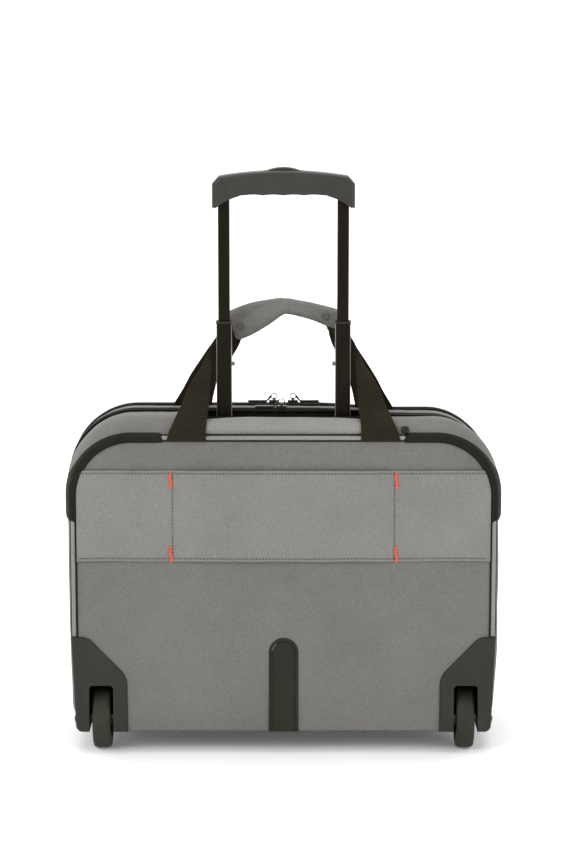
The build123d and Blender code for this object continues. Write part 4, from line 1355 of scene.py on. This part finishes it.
# springs under the release button: wire wound between the lower shell and the rods' bridge
spring_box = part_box("button_springs")
SPRING_X, SPRING_Y, COIL_R, WIRE_R, COILS = 30.0, -62.0, 2.6, 0.4, 6
spring_low, spring_high = spring_box[0][2] / MM + WIRE_R, spring_box[1][2] / MM - WIRE_R
coils = []
for side in (-1, 1):
    turn = np.linspace(0, 2 * math.pi * COILS, 24 * COILS)
    rise = spring_low + (spring_high - spring_low) * turn / turn[-1]
    path = np.stack([side * SPRING_X + COIL_R * np.cos(turn), SPRING_Y + COIL_R * np.sin(turn), rise], axis=1)
    coils.append(tube_mesh("coil", path, WIRE_R, 8))
wound = joined("button_spring_coils", coils, MAT["steel"], "stage3")
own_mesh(wound)
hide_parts("button_springs")

# ---------------------------------------------------------------- studio
WALL_START, WALL_RADIUS = 7.0, 2.5
floor_rows = []
for x in np.linspace(-10.0, 10.0, 21):
    row = [(x, y, 0.0) for y in (-9.0, -5.0, -2.0, 0.0, 2.2, 4.5, WALL_START)]
    for a in np.linspace(0, math.pi / 2, 14)[1:]:
        row.append((x, WALL_START + WALL_RADIUS * math.sin(a), WALL_RADIUS * (1 - math.cos(a))))
    row.append((x, WALL_START + WALL_RADIUS, 8.0))
    floor_rows.append(row)
floor_mesh = grid_mesh("studio_sweep", np.array(floor_rows) / MM)
backdrop = Nodes("studio_paper")
place = backdrop.add("ShaderNodeTexCoord").outputs["Object"]
paper = backdrop.noise(place, 3.0, 2.0)
backdrop.wire("Base Color", backdrop.ramp(paper, [(0.3, (0.93, 0.93, 0.93)), (0.7, (0.95, 0.95, 0.95))]))
# painted light: the sweep glows though it is no lamp, weakly near the case and more strongly further out,
# which keeps it white
away = backdrop.add("ShaderNodeVectorMath", links=[(0, place)], operation="LENGTH")
glow = backdrop.ramp(
    backdrop.math("DIVIDE", away.outputs["Value"], 4.0), [(0.1, (0.06, 0.06, 0.06)), (0.6, (0.3, 0.3, 0.3))]
)
backdrop.wire("Emission Color", glow)
backdrop.bsdf.inputs["Emission Strength"].default_value = 1.0
backdrop.set(rough=0.9, specular=0.1)
sweep = bpy.data.objects.new("studio_sweep", floor_mesh)
bpy.context.scene.collection.objects.link(sweep)
floor_mesh.materials.append(backdrop.mat)
floor_mesh.polygons.foreach_set("use_smooth", [True] * len(floor_mesh.polygons))

world = bpy.data.worlds.new("studio_world")
bpy.context.scene.world = world
world.use_nodes = True
world.node_tree.nodes["Background"].inputs[0].default_value = (1, 1, 1, 1)
world.node_tree.nodes["Background"].inputs[1].default_value = 0.85


def area_light(name, place, aim, size, power):
    light = bpy.data.lights.new(name, "AREA")
    light.shape = "RECTANGLE"
    light.size, light.size_y = size
    light.energy = power
    obj = bpy.data.objects.new(name, light)
    obj.location = place
    obj.rotation_euler = (Vector(aim) - Vector(place)).to_track_quat("-Z", "Y").to_euler()
    bpy.context.scene.collection.objects.link(obj)


area_light("key_softbox", (-1.7, -2.2, 1.9), (0, 0, 0.3), (1.4, 1.4), 34)
area_light("fill_softbox", (2.1, -1.8, 1.0), (0, 0, 0.3), (1.4, 1.4), 15)
area_light("top_softbox", (0.0, 0.2, 2.4), (0, 0, 0.3), (2.0, 1.6), 26)
area_light("backdrop_light", (0.0, 1.4, 2.6), (0, 4.5, 0.0), (4.0, 0.6), 60)
area_light("left_rim", (-1.6, 0.9, 0.7), (0, 0, 0.35), (0.4, 1.6), 8)
area_light("right_rim", (1.6, 0.9, 0.7), (0, 0, 0.35), (0.4, 1.6), 8)

CAMERA_DISTANCE, CAMERA_RISE, LOOK_HEIGHT = 2.7, math.radians(9.0), 0.33303
camera_data = bpy.data.cameras.new("camera")
camera_data.lens = 106.28
camera_data.sensor_width = 36.0
camera = bpy.data.objects.new("camera", camera_data)
back = Vector((0.0, -math.cos(CAMERA_RISE), math.sin(CAMERA_RISE)))
camera.location = Vector((0.0, 0.0, LOOK_HEIGHT)) + back * CAMERA_DISTANCE
camera.rotation_euler = (-back).to_track_quat("-Z", "Y").to_euler()
bpy.context.scene.collection.objects.link(camera)
bpy.context.scene.camera = camera
bpy.context.scene.view_settings.view_transform = "Standard"
